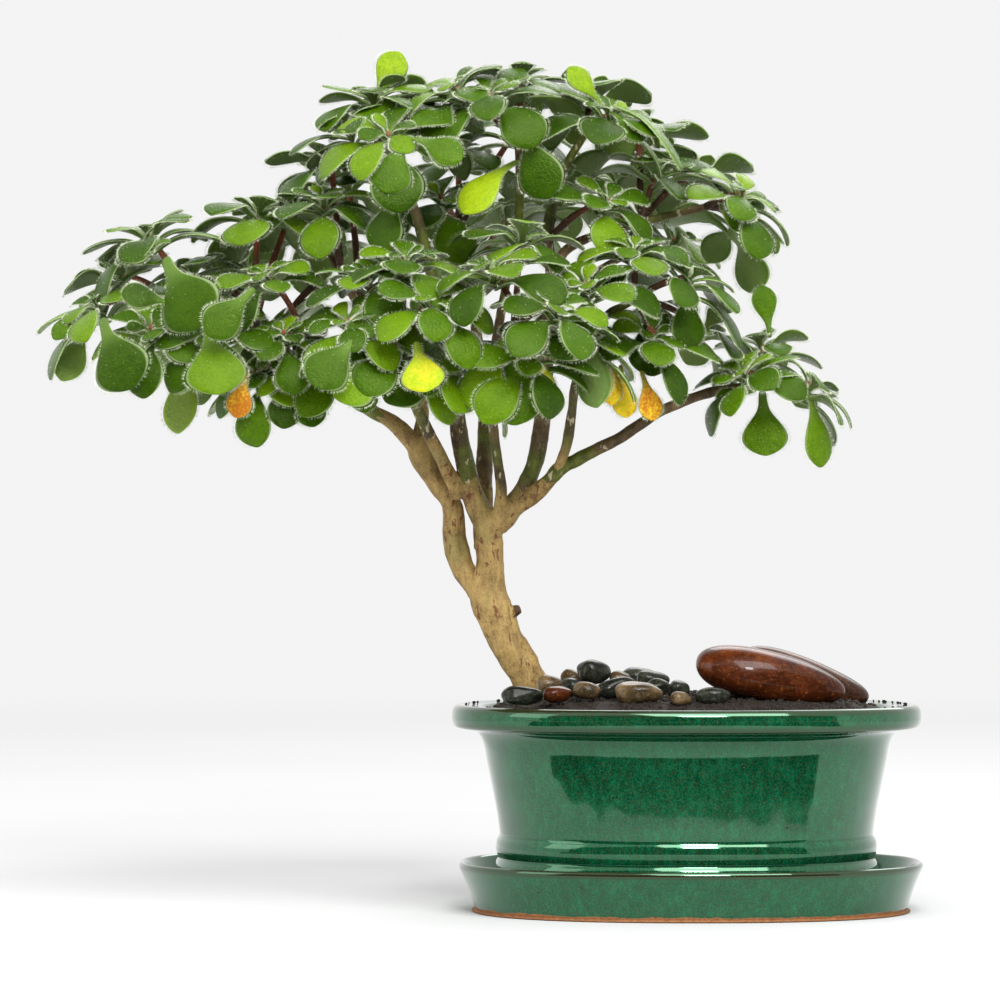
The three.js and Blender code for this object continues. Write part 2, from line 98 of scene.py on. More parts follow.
# %% [markdown]
# ## Meshes from arrays
# Every new surface here is worked out as one array of points, in rows and columns, and faces that join
# neighbours. A row can close into a ring, and two extra points close the ends. Many copies of one shape,
# such as the leaves, are just one more axis on the same array.

# %% Mesh helpers
def lattice(rows, cols, wrap=True):
    """Quads between neighbours on a rows x cols grid of points; with wrap the last column joins the first."""
    row, col = np.meshgrid(np.arange(rows - 1), np.arange(cols if wrap else cols - 1), indexing="ij")
    beside = (col + 1) % cols
    corners = (row * cols + col, row * cols + beside, (row + 1) * cols + beside, (row + 1) * cols + col)
    return np.stack([corner.ravel() for corner in corners], axis=1)


def capped(rows, cols):
    """The quads of a closed loft, and triangle fans to two end points stored after the grid."""
    ring = np.arange(cols)
    beside = (ring + 1) % cols
    first = np.stack([np.full(cols, rows * cols), beside, ring], axis=1)
    top = (rows - 1) * cols
    last = np.stack([np.full(cols, rows * cols + 1), top + ring, top + beside], axis=1)
    return [lattice(rows, cols), first, last]


def with_ends(grid):
    """Adds the middle of the first and of the last ring to grids of shape (..., rows, cols, 3)."""
    flat = grid.reshape(*grid.shape[:-3], -1, 3)
    ends = [grid[..., 0, :, :].mean(-2)[..., None, :], grid[..., -1, :, :].mean(-2)[..., None, :]]
    return np.concatenate([flat, *ends], axis=-2)


def repeated(faces, copies, points_each):
    """The same faces for many copies whose points follow one another."""
    first_point = (np.arange(copies) * points_each)[:, None, None]
    return [(face[None] + first_point).reshape(-1, face.shape[1]) for face in faces]


def new_mesh(name, points, faces, **values):
    """A smooth mesh of an (n, 3) array of points and a list of face arrays; values are numbers per point."""
    mesh = bpy.data.meshes.new(name)
    points = np.asarray(points, np.float32).reshape(-1, 3)
    mesh.vertices.add(len(points))
    mesh.vertices.foreach_set("co", points.ravel())
    corners = np.concatenate([f.ravel() for f in faces]).astype(np.int32)
    sizes = np.concatenate([np.full(len(f), f.shape[1]) for f in faces])
    mesh.loops.add(len(corners))
    mesh.loops.foreach_set("vertex_index", corners)
    mesh.polygons.add(len(sizes))
    mesh.polygons.foreach_set("loop_start", np.concatenate([[0], np.cumsum(sizes)[:-1]]).astype(np.int32))
    mesh.polygons.foreach_set("use_smooth", np.ones(len(sizes), bool))
    for label, value in values.items():
        layer = mesh.attributes.new(label, "FLOAT", "POINT")
        layer.data.foreach_set("value", np.broadcast_to(value, len(points)).astype(np.float32))
    mesh.update(calc_edges=True)
    return mesh


def add_piece(name, mesh, material, nodes=()):
    """Puts a finished mesh in the scene on the root body, standing for the CAD nodes named."""
    mesh.materials.append(material)
    piece = bpy.data.objects.new(name, mesh)
    bpy.context.scene.collection.objects.link(piece)
    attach(piece, "root")
    if nodes:
        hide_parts(*nodes)
    return piece


# %% [markdown]
# ## Shader sums in plain Python
# A finish is mostly sums on patterns: this noise plus a little of that, kept to the rim. One small class
# wraps a socket, so that `noise * 0.5 + edge` adds the Math nodes, and a Finish builds every other node by
# its type.

# %% Shader helpers
class Signal:
    """A number that changes over a surface. Operators on it add Math nodes."""

    def __init__(self, finish, socket):
        self.finish = finish
        self.socket = socket

    def sum_of(self, operation, first, second):
        """A Math node on two numbers or signals."""
        return self.finish.node("ShaderNodeMath", {"operation": operation}, {0: first, 1: second})

    def __add__(self, other):
        return self.sum_of("ADD", self, other)

    def __radd__(self, other):
        return self.sum_of("ADD", other, self)

    def __sub__(self, other):
        return self.sum_of("SUBTRACT", self, other)

    def __rsub__(self, other):
        return self.sum_of("SUBTRACT", other, self)

    def __mul__(self, other):
        return self.sum_of("MULTIPLY", self, other)

    def __rmul__(self, other):
        return self.sum_of("MULTIPLY", other, self)

    def between(self, low, high):
        """0 below low, 1 above high, smooth between; high may be the smaller to turn it round."""
        settings = {"interpolation_type": "SMOOTHSTEP"}
        return self.finish.node("ShaderNodeMapRange", settings, {0: self, 1: low, 2: high, 3: 0.0, 4: 1.0})


class Finish:
    """A new material: constants sit on the Principled shader's own sockets, and feed links what changes."""

    def __init__(self, name, **constants):
        self.material = bpy.data.materials.new(name)
        self.material.use_nodes = True
        self.tree = self.material.node_tree
        self.shader = self.tree.nodes["Principled BSDF"]
        for socket, value in constants.items():
            self.shader.inputs[socket.replace("_", " ")].default_value = value
        self.place = self.node("ShaderNodeTexCoord", output="Object")

    def node(self, kind, settings=(), inputs=(), output=0):
        """Adds a node, sets its settings, then its sockets with values or links, and returns one output."""
        made = self.tree.nodes.new(kind)
        for key, value in dict(settings).items():
            if key == "stops":
                for stop, (position, colour) in zip(made.color_ramp.elements, value, strict=False):
                    stop.position, stop.color = position, (*colour, 1)
                for position, colour in value[len(made.color_ramp.elements):]:
                    made.color_ramp.elements.new(position).color = (*colour, 1)
            else:
                setattr(made, key, value)
        for key, value in dict(inputs).items():
            self.join(value, made.inputs[key])
        return Signal(self, made.outputs[output])

    def join(self, value, socket):
        """Links a signal to a socket, or sets a constant there."""
        if isinstance(value, Signal):
            self.tree.links.new(value.socket, socket)
        elif socket.type == "RGBA" and len(value) == 3:
            socket.default_value = (*value, 1)
        else:
            socket.default_value = value

    def feed(self, **links):
        """Joins each value to the shader socket of that name, and returns the finished material."""
        for socket, value in links.items():
            self.join(value, self.shader.inputs[socket.replace("_", " ")])
        return self.material

    def noise(self, scale, detail=3.0, roughness=0.5, stretch=(1, 1, 1)):
        """Soft cloudy noise, scale in cycles per metre; a stretch below 1 draws it out along that axis."""
        place = self.place
        if stretch != (1, 1, 1):
            place = self.node("ShaderNodeMapping", {}, {"Vector": place, "Scale": stretch})
        inputs = {"Vector": place, "Scale": scale, "Detail": detail, "Roughness": roughness}
        return self.node("ShaderNodeTexNoise", {}, inputs, "Fac")

    def cells(self, scale):
        """Distance to scattered points, scale in cells per metre."""
        return self.node("ShaderNodeTexVoronoi", {}, {"Vector": self.place, "Scale": scale}, "Distance")

    def height(self):
        """How high the place is, in metres."""
        return self.node("ShaderNodeSeparateXYZ", {}, {0: self.place}, "Z")

    def value(self, label):
        """A number stored on the mesh's points under this label."""
        return self.node("ShaderNodeAttribute", {"attribute_name": label}, {}, "Fac")

    def ramp(self, factor, *stops):
        """Colours along the factor, each stop as (position, colour)."""
        return self.node("ShaderNodeValToRGB", {"stops": stops}, {0: factor}, "Color")

    def mix(self, factor, first, second):
        """From the first colour to the second by the factor."""
        settings = {"data_type": "RGBA", "clamp_factor": True}
        return self.node("ShaderNodeMix", settings, {0: factor, 6: first, 7: second}, 2)

    def bump(self, relief, depth, strength=1.0):
        """Relief as a height from 0 to 1 over a depth in metres."""
        return self.node("ShaderNodeBump", {}, {"Strength": strength, "Distance": depth, "Height": relief})


# %% [markdown]
# ## Green glaze
# A copper-green glaze is glass over clay. It pools deep and dark in grooves, breaks thin to brown on sharp
# rims, and holds a fine mottle of teal and rusty specks, with pinholes and small spatters here and there.
# The mottle adds up three noises, one of them drawn out downwards as the glaze ran. The break follows an
# `edge` value that each profile stores where it turns sharply outwards, and a coat gives the wet gloss. A
# narrow band at the saucer's foot is left bare, in red clay.

# %% Glaze finish
def glaze(name, bare_below):
    """Glaze over clay, with bare clay under the height given in metres."""
    finish = Finish(name, IOR=1.5, Coat_IOR=1.5, Specular_IOR_Level=0.8, Specular_Tint=(0.3, 1, 0.5, 1))
    blotch = finish.noise(120, 5, 0.6)
    speck = finish.noise(1400, 4, 0.7)
    grain = finish.noise(2600, 2, 0.6)
    streak = finish.noise(420, 4, 0.7, (1, 1, 0.4))
    depth = blotch * 0.22 + speck * 0.43 + streak * 0.35
    green = finish.ramp(
        depth, (0.38, (0.0, 0.018, 0.006)), (0.5, (0.0006, 0.045, 0.016)), (0.62, (0.002, 0.1, 0.04))
    )
    teal = finish.mix((grain * 0.6 + speck * 0.4).between(0.5, 0.68) * 0.6, green, (0.004, 0.1, 0.07))
    rust = finish.mix(finish.noise(2200, 3, 0.7).between(0.54, 0.64) * 0.5, teal, (0.085, 0.045, 0.012))
    edge = finish.value("edge")
    breaking = (edge + (speck - 0.5) * 0.9).between(0.35, 0.9)
    broken = finish.mix(breaking * 0.9, rust, (0.018, 0.012, 0.005))
    pooled = finish.mix(finish.value("pool").between(0.2, 1.0) * 0.75, broken, (0.0, 0.02, 0.008))
    spatter = finish.cells(330).between(0.09, 0.05) * finish.noise(26, 2).between(0.56, 0.64)
    hole = finish.cells(70).between(0.055, 0.03) + spatter
    pitted = finish.mix(hole * 0.9, pooled, (0.006, 0.004, 0.003))
    wavy_height = finish.height() + (finish.noise(220, 2) - 0.5) * (1.6 * MM)
    bare = wavy_height.between(bare_below + 0.1 * MM, bare_below)
    clay = finish.noise(700, 4, 0.7)
    clay_tone = finish.ramp(clay, (0.3, (0.2, 0.055, 0.022)), (0.7, (0.38, 0.14, 0.06)))
    colour = finish.mix(bare, pitted, clay_tone)
    relief = (1 - hole) * 0.6 + finish.noise(60, 2) * 0.3 + bare * finish.noise(3000, 2) * 0.4
    return finish.feed(
        Base_Color=colour,
        Roughness=bare * 0.7 + 0.06 + speck * 0.05,
        Coat_Weight=(1 - bare) * 0.65,
        Normal=finish.bump(relief, 0.35 * MM, 0.55),
    )


NOT_BARE = -1.0
pot_glaze = glaze("pot_glaze", NOT_BARE)
saucer_glaze = glaze("saucer_glaze", 1.5 * MM)

# %% [markdown]
# ## Pot and saucer
# Both are pressed in moulds and share one plan: an oval with flattened sides and full ends. A profile of a
# few points, each with a half length, a half depth and a height, is drawn as a smooth line and carried
# round the oval by powers of the cosine and sine. Where the line turns sharply outwards the glaze runs
# thin, and where it turns in it pools, so both are measured along the profile and stored on the points.

# %% Oval lofts
OVAL_POWER = 2.3
DEPTH_RATIO = 0.79
OVAL_SIDES = 176


def smooth_line(points, spacing):
    """A Catmull-Rom line through the points (n, k), with points about `spacing` apart."""
    points = np.asarray(points, float)
    padded = np.concatenate([2 * points[:1] - points[1:2], points, 2 * points[-1:] - points[-2:-1]])
    pieces = []
    for before, start, end, after in zip(padded, padded[1:], padded[2:], padded[3:]):
        count = max(1, round(np.linalg.norm(end - start) / spacing))
        t = np.arange(count)[:, None] / count
        cubic = 3 * (start - end) + after - before
        square = 2 * before - 5 * start + 4 * end - after
        pieces.append(0.5 * (2 * start + (end - before) * t + square * t**2 + cubic * t**3))
    return np.concatenate([*pieces, points[-1:]])


def turning(line):
    """How sharply a profile (n, 3) turns at each point, in radians; outward corners are positive."""
    outline = line[:, [0, 2]]
    step = np.gradient(outline, axis=0)
    angle = np.unwrap(np.arctan2(step[:, 1], step[:, 0]))
    return np.gradient(angle)


def oval_mesh(name, profile, shift, spacing=0.8):
    """Carries a profile of (half length, half depth, height) in mm round the oval.

    At turn a the point is (length * c, depth * s, height), where c and s are the cosine and sine of a, raised
    in size to the power 2 / OVAL_POWER.
    """
    line = smooth_line([p if len(p) == 3 else (p[0], p[0] * DEPTH_RATIO, p[1]) for p in profile], spacing)
    turn = np.arange(OVAL_SIDES) / OVAL_SIDES * 2 * np.pi
    share = lambda v: np.sign(v) * np.abs(v) ** (2 / OVAL_POWER)
    x = line[:, None, 0] * share(np.cos(turn)) + shift
    y = line[:, None, 1] * share(np.sin(turn))
    z = np.broadcast_to(line[:, None, 2], x.shape)
    points = with_ends(np.stack([x, y, z], axis=-1) * MM)
    bend = turning(line)
    smooth = np.convolve(bend, np.ones(3) / 3, "same")
    ends = np.zeros(2)
    edge = np.concatenate([np.repeat(np.clip(smooth * 3, 0, 1), OVAL_SIDES), ends])
    pool = np.concatenate([np.repeat(np.clip(-smooth * 3, 0, 1), OVAL_SIDES), ends])
    return new_mesh(name, points, capped(len(line), OVAL_SIDES), edge=edge, pool=pool)


# %% [markdown]
# The profiles start under the middle, go out along the foot, up the outside, over the rim and back down
# inside to the floor. The pot's wall flares more at its ends than at its front, its lip stands out over a
# shadow line, and a low stepped band runs round the foot. A point without a half depth gets it from the
# plan's usual share.

# %% Saucer and pot profiles
SAUCER_PROFILE = [
    (1, 0), (40, 0), (72.8, 0), (73.7, 0.4), (74.5, 2), (76.1, 7), (78.2, 12.2), (79.5, 15),
    (79.5, 16.2), (78.7, 16.8), (77.6, 16.3), (76.6, 14.2), (75.4, 10.5), (73.8, 6.6), (71.5, 4.8),
    (68, 4.5), (40, 4.5), (1, 4.5),
]
POT_PROFILE = [
    (1, 0.8, 7), (30, 24, 7), (52, 41, 7), (53.6, 42, 6), (54.4, 43, 4.9), (60.4, 48.4, 4.9),
    (63, 50.8, 6.6), (65, 52.6, 10), (65.7, 53.3, 13.6), (65.5, 53.1, 16.4), (64.6, 52.4, 18.2),
    (65, 52.7, 19.6), (65.4, 53, 22), (65, 52.8, 24.4), (64.1, 52.2, 25.9), (64.2, 52.3, 28),
    (65.1, 52.5, 34.3), (66.2, 52.7, 40), (67.4, 52.95, 46), (68.6, 53.25, 52), (69.4, 53.6, 56.2),
    (70.6, 54.7, 59.4), (72.4, 56.8, 61.5), (75, 59, 62.3), (78, 61.4, 62.6), (79.8, 62.8, 63.4),
    (80.4, 63.4, 65.2), (80.4, 63.5, 67.4), (80.1, 63.2, 69.2), (79, 62.2, 70.4), (77, 60.6, 70.6),
    (73, 57.2, 70.1), (70.6, 55, 69.8), (69.2, 53.9, 68.4), (68.4, 52.8, 66), (66, 50.4, 55),
    (62, 48.6, 34), (60, 47, 15), (58.4, 45, 12), (55, 43, 10.8), (40, 31, 10.5), (1, 0.8, 10.5),
]
POT_X = -1.5
saucer_mesh = oval_mesh("saucer_glazed", SAUCER_PROFILE, 0)
saucer = add_piece("saucer_glazed", saucer_mesh, saucer_glaze, ["saucer"])
pot_mesh = oval_mesh("pot_glazed", POT_PROFILE, POT_X)
pot = add_piece("pot_glazed", pot_mesh, pot_glaze, ["pot"])
print("pot faces", len(pot.data.polygons), "saucer faces", len(saucer.data.polygons))

# %% [markdown]
# ## Relief
# Nothing grown or worn is quite round. `ripple` adds up a few dozen sine waves that run in all directions,
# which makes a smooth random relief without any table, and `chance` gives repeatable numbers.

# %% Relief and chance
def ripple(points, size, seed, waves=28):
    """A smooth random relief, mostly between -1 and 1, with bumps about `size` metres across.

    It is the sum of sines of (direction . point * 2 pi / length + phase) over random directions and lengths.
    """
    random = np.random.default_rng(seed)
    direction = random.normal(size=(waves, 3))
    direction /= np.linalg.norm(direction, axis=1, keepdims=True)
    length = size * random.uniform(1.2, 3.2, waves)
    phase = random.uniform(0, 2 * np.pi, waves)
    wave = np.asarray(points) @ (direction / length[:, None]).T * (2 * np.pi) + phase
    return np.sin(wave).sum(-1) / np.sqrt(waves)


def chance(n):
    """Repeatable numbers from 0 to 1, one for each whole number."""
    value = np.sin(np.asarray(n) * 12.9898) * 43758.5453
    return value - np.floor(value)


def unit(vectors):
    """The same directions with a length of 1."""
    return vectors / np.linalg.norm(vectors, axis=-1, keepdims=True)


# %% [markdown]
# ## Wood
# A stem is a ring carried along a smooth line of (x, y, z, radius) points in mm. The ring swells at the
# foot of each limb into a collar, thickens at the joints where leaves once sat, and has ribs that wind
# slowly round. The old trunk is one skin: its stems are drawn through each other, then melted together by a
# voxel remesh, so the fork closes the way wood does.

# %% Stems
def stem_grid(line, sides, spacing=0.9, rough=0.05, seed=0, collar=0.0):
    """Rings round a smooth line through (x, y, z, radius) points in mm, as (rings, sides, 3) points in mm.

    radius = r * (1 + collar * exp(-distance / 5) + rough * ripple of the place), all along the line.
    """
    line = smooth_line(line, spacing)
    centre, radius = line[:, :3], line[:, 3]
    tangent = unit(np.gradient(centre, axis=0))
    reference = np.eye(3)[np.argmin(np.abs(centre[-1] - centre[0]))]
    across = unit(np.cross(reference, tangent))
    along = np.cross(tangent, across)
    walked = np.concatenate([[0], np.cumsum(np.linalg.norm(np.diff(centre, axis=0), axis=1))])
    turn = np.arange(sides) / sides * 2 * np.pi
    around = across[:, None] * np.cos(turn)[:, None] + along[:, None] * np.sin(turn)[:, None]
    size = radius * (1 + collar * np.exp(-walked / 5))
    skin = centre[:, None] + around * size[:, None, None]
    ribs = np.sin(5 * turn + walked[:, None] * 0.05 + seed) * 0.3
    joints = np.exp(-(((walked / 7.5 + chance(seed)) % 1 - 0.5) ** 2) / 0.012)[:, None] * 0.5
    swell = rough * (ripple(skin * [1, 1, 0.4], 3.2, seed) + ribs + joints)
    return centre[:, None] + around * (size[:, None] * (1 + swell))[..., None]


def stems_mesh(name, grids, **values):
    """One mesh of several closed stems; values are numbers per point, grid by grid."""
    points, faces, start = [], [], 0
    for grid in grids:
        rows, cols = grid.shape[:2]
        points.append(with_ends(grid) * MM)
        faces += [f + start for f in capped(rows, cols)]
        start += rows * cols + 2
    return new_mesh(name, np.concatenate(points), faces, **values)


TRUNK_LINES = [
    [(-47, 0, 52, 8.6), (-50, -1, 66, 8.4), (-52.5, -1, 72, 7.4), (-56, -2, 80, 6.3),
     (-63, -3, 92, 5.9), (-67.5, -3, 102, 6.4), (-69.5, -3, 109, 5.8), (-69, -3, 118, 4.7),
     (-69, -3, 127, 4.8), (-69, -3, 135, 4.4)],
    [(-67, -2, 100, 3.6), (-72, 0, 109, 4.2), (-78, 1, 117, 4.1), (-81, 2, 127, 4.4),
     (-82, 1, 139, 3.6), (-87, 0, 147, 3.8), (-92, -1, 155, 4), (-95, -2, 162, 3.3)],
    [(-64, -4, 101, 2.6), (-60.4, -5, 102.6, 1.9), (-58.6, -5.6, 103.4, 1.5)],
]
LIMBS = {
    "limb_centre": [
        [(-70, -3, 132, 3.8), (-75, -4, 143, 3.5), (-78, -6, 156, 3.1), (-80, -8, 168, 2.9),
         (-82, -9, 180, 2.6), (-85, -10, 196, 2.3), (-88, -10, 214, 2), (-92, -11, 231, 1.8),
         (-97, -12, 247, 1.6), (-100, -13, 258, 1.4)]],
    "limb_upper_right": [
        [(-67, -3, 132, 4), (-60, -4, 140, 3.4), (-55, -5, 149, 3), (-52, -6, 160, 2.8),
         (-50, -8, 180, 2.5), (-49, -6, 200, 2.2), (-48, -4, 218, 2), (-49, -4, 234, 1.8),
         (-45, -6, 250, 1.6), (-36, -9, 267, 1.3)],
        [(-48, -4, 214, 1.8), (-43, -2, 226, 1.7), (-31, 0, 232, 1.6), (-13, 0, 237, 1.4),
         (5, -4, 241, 1.2)]],
    "limb_right": [
        [(-60, -4, 138, 2.6), (-52, -8, 144, 2.6), (-45, -10, 151, 2.4), (-36, -12, 156, 2.2),
         (-24, -12, 162, 2), (-12, -12, 170, 1.9), (2, -12, 176, 1.7), (15, -12, 179, 1.4),
         (28, -11, 179, 1.2)]],
    "limb_right_front": [
        [(-46, -10, 150, 1.7), (-42.5, -15, 160, 1.7), (-41, -18, 170, 1.6), (-39, -23, 182, 1.5),
         (-31, -28, 201, 1.4), (-20, -30, 208, 1.2)]],
    "limb_thin": [
        [(-66, -5, 134, 1.8), (-65, -8, 144, 1.8), (-66.5, -11, 156, 1.7), (-68, -13, 172, 1.7),
         (-67, -11, 192, 1.6), (-63, -6, 216, 1.5), (-59, -6, 236, 1.4), (-59, -8, 262, 1.2)],
        [(-68, -13, 170, 1.5), (-66, -28, 183, 1.4), (-62, -42, 193, 1.3), (-58, -54, 200, 1.1)]],
    "limb_back": [
        [(-71, 0, 124, 3), (-71, 9, 138, 3.2), (-71, 16, 153, 2.8), (-71, 24, 172, 2.2),
         (-73, 36, 195, 1.9), (-77, 46, 216, 1.6), (-80, 51, 234, 1.3)]],
    "limb_back_right": [
        [(-71, 23, 170, 1.8), (-65, 34, 186, 1.7), (-51, 47, 204, 1.5), (-35, 58, 219, 1.4),
         (-20, 63, 228, 1.2)]],
    "limb_back_left": [
        [(-72, 32, 188, 1.7), (-86, 46, 200, 1.6), (-107, 58, 211, 1.4), (-131, 63, 217, 1.2)]],
    "limb_left": [
        [(-94, -2, 159, 2.8), (-102, -4, 167, 2.5), (-111, -6, 172, 2.3), (-122, -8, 180, 2.1),
         (-135, -8, 189, 1.9), (-149, -6, 197, 1.7), (-163, -4, 203, 1.5), (-175, -4, 206, 1.2)]],
    "limb_upper_left": [
        [(-94, -1, 160, 1.9), (-92, 3, 172, 1.9), (-97, 6, 185, 1.8), (-106, 6, 196, 1.6),
         (-115, 2, 209, 1.5), (-120, -3, 220, 1.3)]],
    "limb_front_left": [
        [(-79, -3, 142, 2.3), (-86, -11, 156, 2.1), (-92, -17, 168, 2), (-97, -25, 181, 1.8),
         (-101, -33, 192, 1.5), (-107, -40, 196, 1.2)]],
}

# %% [markdown]
# Old bark is tan with fine ridges along the stem and scattered rusty dots, and the end of the dead stub is
# dark. Young limbs are still olive and brown, marked with pale scars where leaves dropped off.

# %% Bark finishes
OLD_BARK = (0.12, 0.066, 0.018), (0.44, 0.295, 0.1)


def streaks(finish, scale):
    """Fine streaks along the stem and soft clouds, as one tone, with the streaks by themselves."""
    streak = finish.noise(scale, 4, 0.65, (1, 1, 0.25))
    return streak * 0.3 + finish.noise(90, 4, 0.65) * 0.45 + finish.noise(1400, 2, 0.7) * 0.25, streak


def flecks(finish, scale, low, high):
    """Scattered long spots of uneven size."""
    spots = finish.noise(scale, 2, 0.5, (1, 1, 0.4))
    return spots.between(low, high) * finish.noise(75, 2).between(0.4, 0.56)


STUB_END = (-58.6 * MM, -5.6 * MM, 103.4 * MM)
trunk_finish = Finish("trunk_bark", Specular_IOR_Level=0.35)
tone, streak = streaks(trunk_finish, 520)
fleck = flecks(trunk_finish, 640, 0.59, 0.64)
old = trunk_finish.ramp(tone, (0.38, OLD_BARK[0]), (0.6, OLD_BARK[1]))
mossy = trunk_finish.mix(trunk_finish.noise(60, 2).between(0.5, 0.7) * 0.4, old, (0.2, 0.2, 0.06))
to_stub = trunk_finish.node(
    "ShaderNodeVectorMath", {"operation": "DISTANCE"}, {0: trunk_finish.place, 1: STUB_END}, "Value"
)
dead = (to_stub + (streak - 0.5) * (9 * MM)).between(4 * MM, 2.4 * MM)
spotted = trunk_finish.mix(fleck * 0.85, mossy, (0.15, 0.042, 0.014))
trunk_bark = trunk_finish.feed(
    Base_Color=trunk_finish.mix(dead * 0.9, spotted, (0.045, 0.016, 0.007)),
    Roughness=0.5 + streak * 0.3,
    Normal=trunk_finish.bump(tone + fleck * 0.35, 0.7 * MM, 0.8),
)

limb_finish = Finish("limb_bark", Specular_IOR_Level=0.4)
tone, streak = streaks(limb_finish, 420)
scar = flecks(limb_finish, 560, 0.61, 0.66)
young = limb_finish.ramp(tone, (0.4, (0.045, 0.027, 0.008)), (0.58, (0.17, 0.11, 0.045)))
olive = limb_finish.ramp(tone, (0.4, (0.035, 0.045, 0.004)), (0.58, (0.13, 0.15, 0.015)))
greened = limb_finish.mix(limb_finish.noise(45, 2).between(0.48, 0.62), young, olive)
old = limb_finish.ramp(tone, (0.38, OLD_BARK[0]), (0.6, OLD_BARK[1]))
aged = limb_finish.mix((limb_finish.value("young") + (tone - 0.5) * 16).between(5, 16), old, greened)
limb_bark = limb_finish.feed(
    Base_Color=limb_finish.mix(scar * 0.9, aged, (0.5, 0.42, 0.28)),
    Roughness=0.42 + streak * 0.3,
    Normal=limb_finish.bump(tone + scar * 0.6, 0.6 * MM, 0.8),
)

# %% [markdown]
# Each limb that leaves a stem has its first stretch in the trunk's skin too, so the bark runs on over the
# fork. On a limb, `young` counts the way along it in mm, and a limb that starts far out counts from
# YOUNG_AT_START, so old bark gives way to young.

# %% Trunk and limbs
def root_of(line):
    """A limb's first stretch, a little thicker at its start and thinner where the limb comes out of it."""
    start = np.array(line[:3], float)
    start[:, 3] *= (1.2, 1.1, 0.8)
    return start


FORK = (-72, 134)
FORK_REACH = 36
YOUNG_AT_START = 20
RING_SPACING = 0.9
LIMB_SIDES = 16
SIDE_LIMBS = ("limb_right_front", "limb_back_right", "limb_back_left")
roots = [root_of(lines[0]) for name, lines in LIMBS.items() if name not in SIDE_LIMBS]
trunk_grids = [stem_grid(line, 40, 0.6, 0.07, seed) for seed, line in enumerate(TRUNK_LINES)]
trunk_grids += [stem_grid(line, 24, 0.6, 0.05, seed) for seed, line in enumerate(roots)]
trunk = add_piece("trunk_bark", stems_mesh("trunk_bark", trunk_grids), trunk_bark, ["trunk"])
melt = trunk.modifiers.new("melt", "REMESH")
melt.mode = "VOXEL"
melt.voxel_size = 0.42 * MM
melt.use_smooth_shade = True
ease = trunk.modifiers.new("ease", "SMOOTH")
ease.factor = 0.5
ease.iterations = 7
for seed, (name, lines) in enumerate(LIMBS.items()):
    grids = [
        stem_grid(line, LIMB_SIDES, RING_SPACING, 0.08, seed + 11 * part, 0.08)
        for part, line in enumerate(lines)
    ]
    foot_x, _, foot_z, _ = lines[0][0]
    off_the_fork = np.hypot(foot_x - FORK[0], foot_z - FORK[1]) > FORK_REACH
    starts = [0 if part else off_the_fork * YOUNG_AT_START for part in range(len(grids))]
    walk = [start + np.arange(len(grid)) * RING_SPACING for start, grid in zip(starts, grids)]
    young = np.concatenate([np.append(np.repeat(w, LIMB_SIDES), [w[0], w[-1]]) for w in walk])
    add_piece(name + "_bark", stems_mesh(name + "_bark", grids, young=young), limb_bark, [name])
print("limbs", len(LIMBS))

# %% [markdown]
# ## Soil and stones
# The soil is heaped a little in the middle and strewn with crumbs, and a few have spilt onto the pot's lip.
# The stones are river stones, worn smooth and still wet, flecked and veined with other minerals.

# %% Soil
def crumbs(count, seed, sizes):
    """Rough little lumps: balls of 4 x 6 points pushed in and out, as (count, 26, 3) points in mm."""
    random = np.random.default_rng(seed)
    tilt = np.array([0.25, 0.42, 0.6, 0.78]) * np.pi
    turn = np.arange(6) / 6 * 2 * np.pi
    ring = np.stack([np.sin(tilt)[:, None] * np.cos(turn), np.sin(tilt)[:, None] * np.sin(turn),
                     np.broadcast_to(-np.cos(tilt)[:, None], (4, 6))], axis=-1)
    size = random.uniform(*sizes, (count, 1, 1, 1)) * random.uniform(0.6, 1, (count, 1, 1, 3))
    lumps = ring * size * random.uniform(0.75, 1.2, (count, 4, 6, 1))
    return with_ends(lumps)


def soil_top(x, y):
    """Height of the soil in mm at a place in mm, highest in the middle and dipping to the wall."""
    powers = np.abs((x - POT_X) / 68) ** OVAL_POWER + np.abs(y / (68 * DEPTH_RATIO)) ** OVAL_POWER
    out = powers ** (1 / OVAL_POWER)
    return 73.8 - 0.5 * out - 4.4 * np.clip(out, 0, 1) ** 4


SOIL_PROFILE = [
    (1, 0.8, 11), (30, 23, 11.2), (56, 43, 11.5), (59, 45.6, 14.4), (61.2, 48, 34.2), (65, 49.8, 55),
    (67.2, 52, 66), (67.8, 52.5, 68.2), (66.4, 51.4, 69.4), (62, 48.6, 70.6), (50, 40, 72.4),
    (32, 25, 73.2), (12, 9, 73.7), (1, 0.8, 73.8),
]
soil_finish = Finish("potting_mix", Specular_IOR_Level=0.4)
grit = soil_finish.noise(900, 5, 0.75)
soil_tone = soil_finish.ramp(
    grit, (0.38, (0.004, 0.003, 0.002)), (0.56, (0.03, 0.02, 0.012)), (0.7, (0.12, 0.075, 0.045))
)
soil_mix = soil_finish.feed(
    Base_Color=soil_tone, Roughness=0.9 - grit * 0.3, Normal=soil_finish.bump(grit, 1.2 * MM)
)
soil_mesh = oval_mesh("soil_surface", SOIL_PROFILE, POT_X, 1.2)
add_piece("soil_surface", soil_mesh, soil_mix, ["soil"])
CRUMBS_THROWN = 2600
CRUMBS_SPILT = 80
SOIL_HALF = np.array([66, 51])
LIP_HALF = np.array([75.5, 59.2])
LIP_TOP = 70.6
random = np.random.default_rng(5)
place = random.uniform(-1, 1, (CRUMBS_THROWN, 2)) * SOIL_HALF
place = place[(np.abs(place / SOIL_HALF) ** OVAL_POWER).sum(axis=1) < 0.97] + [POT_X, 0]
lumps = crumbs(len(place), 6, (0.5, 1.5))
lumps += np.column_stack([place, soil_top(place[:, 0], place[:, 1])])[:, None]
turn = random.uniform(0, 2 * np.pi, CRUMBS_SPILT)
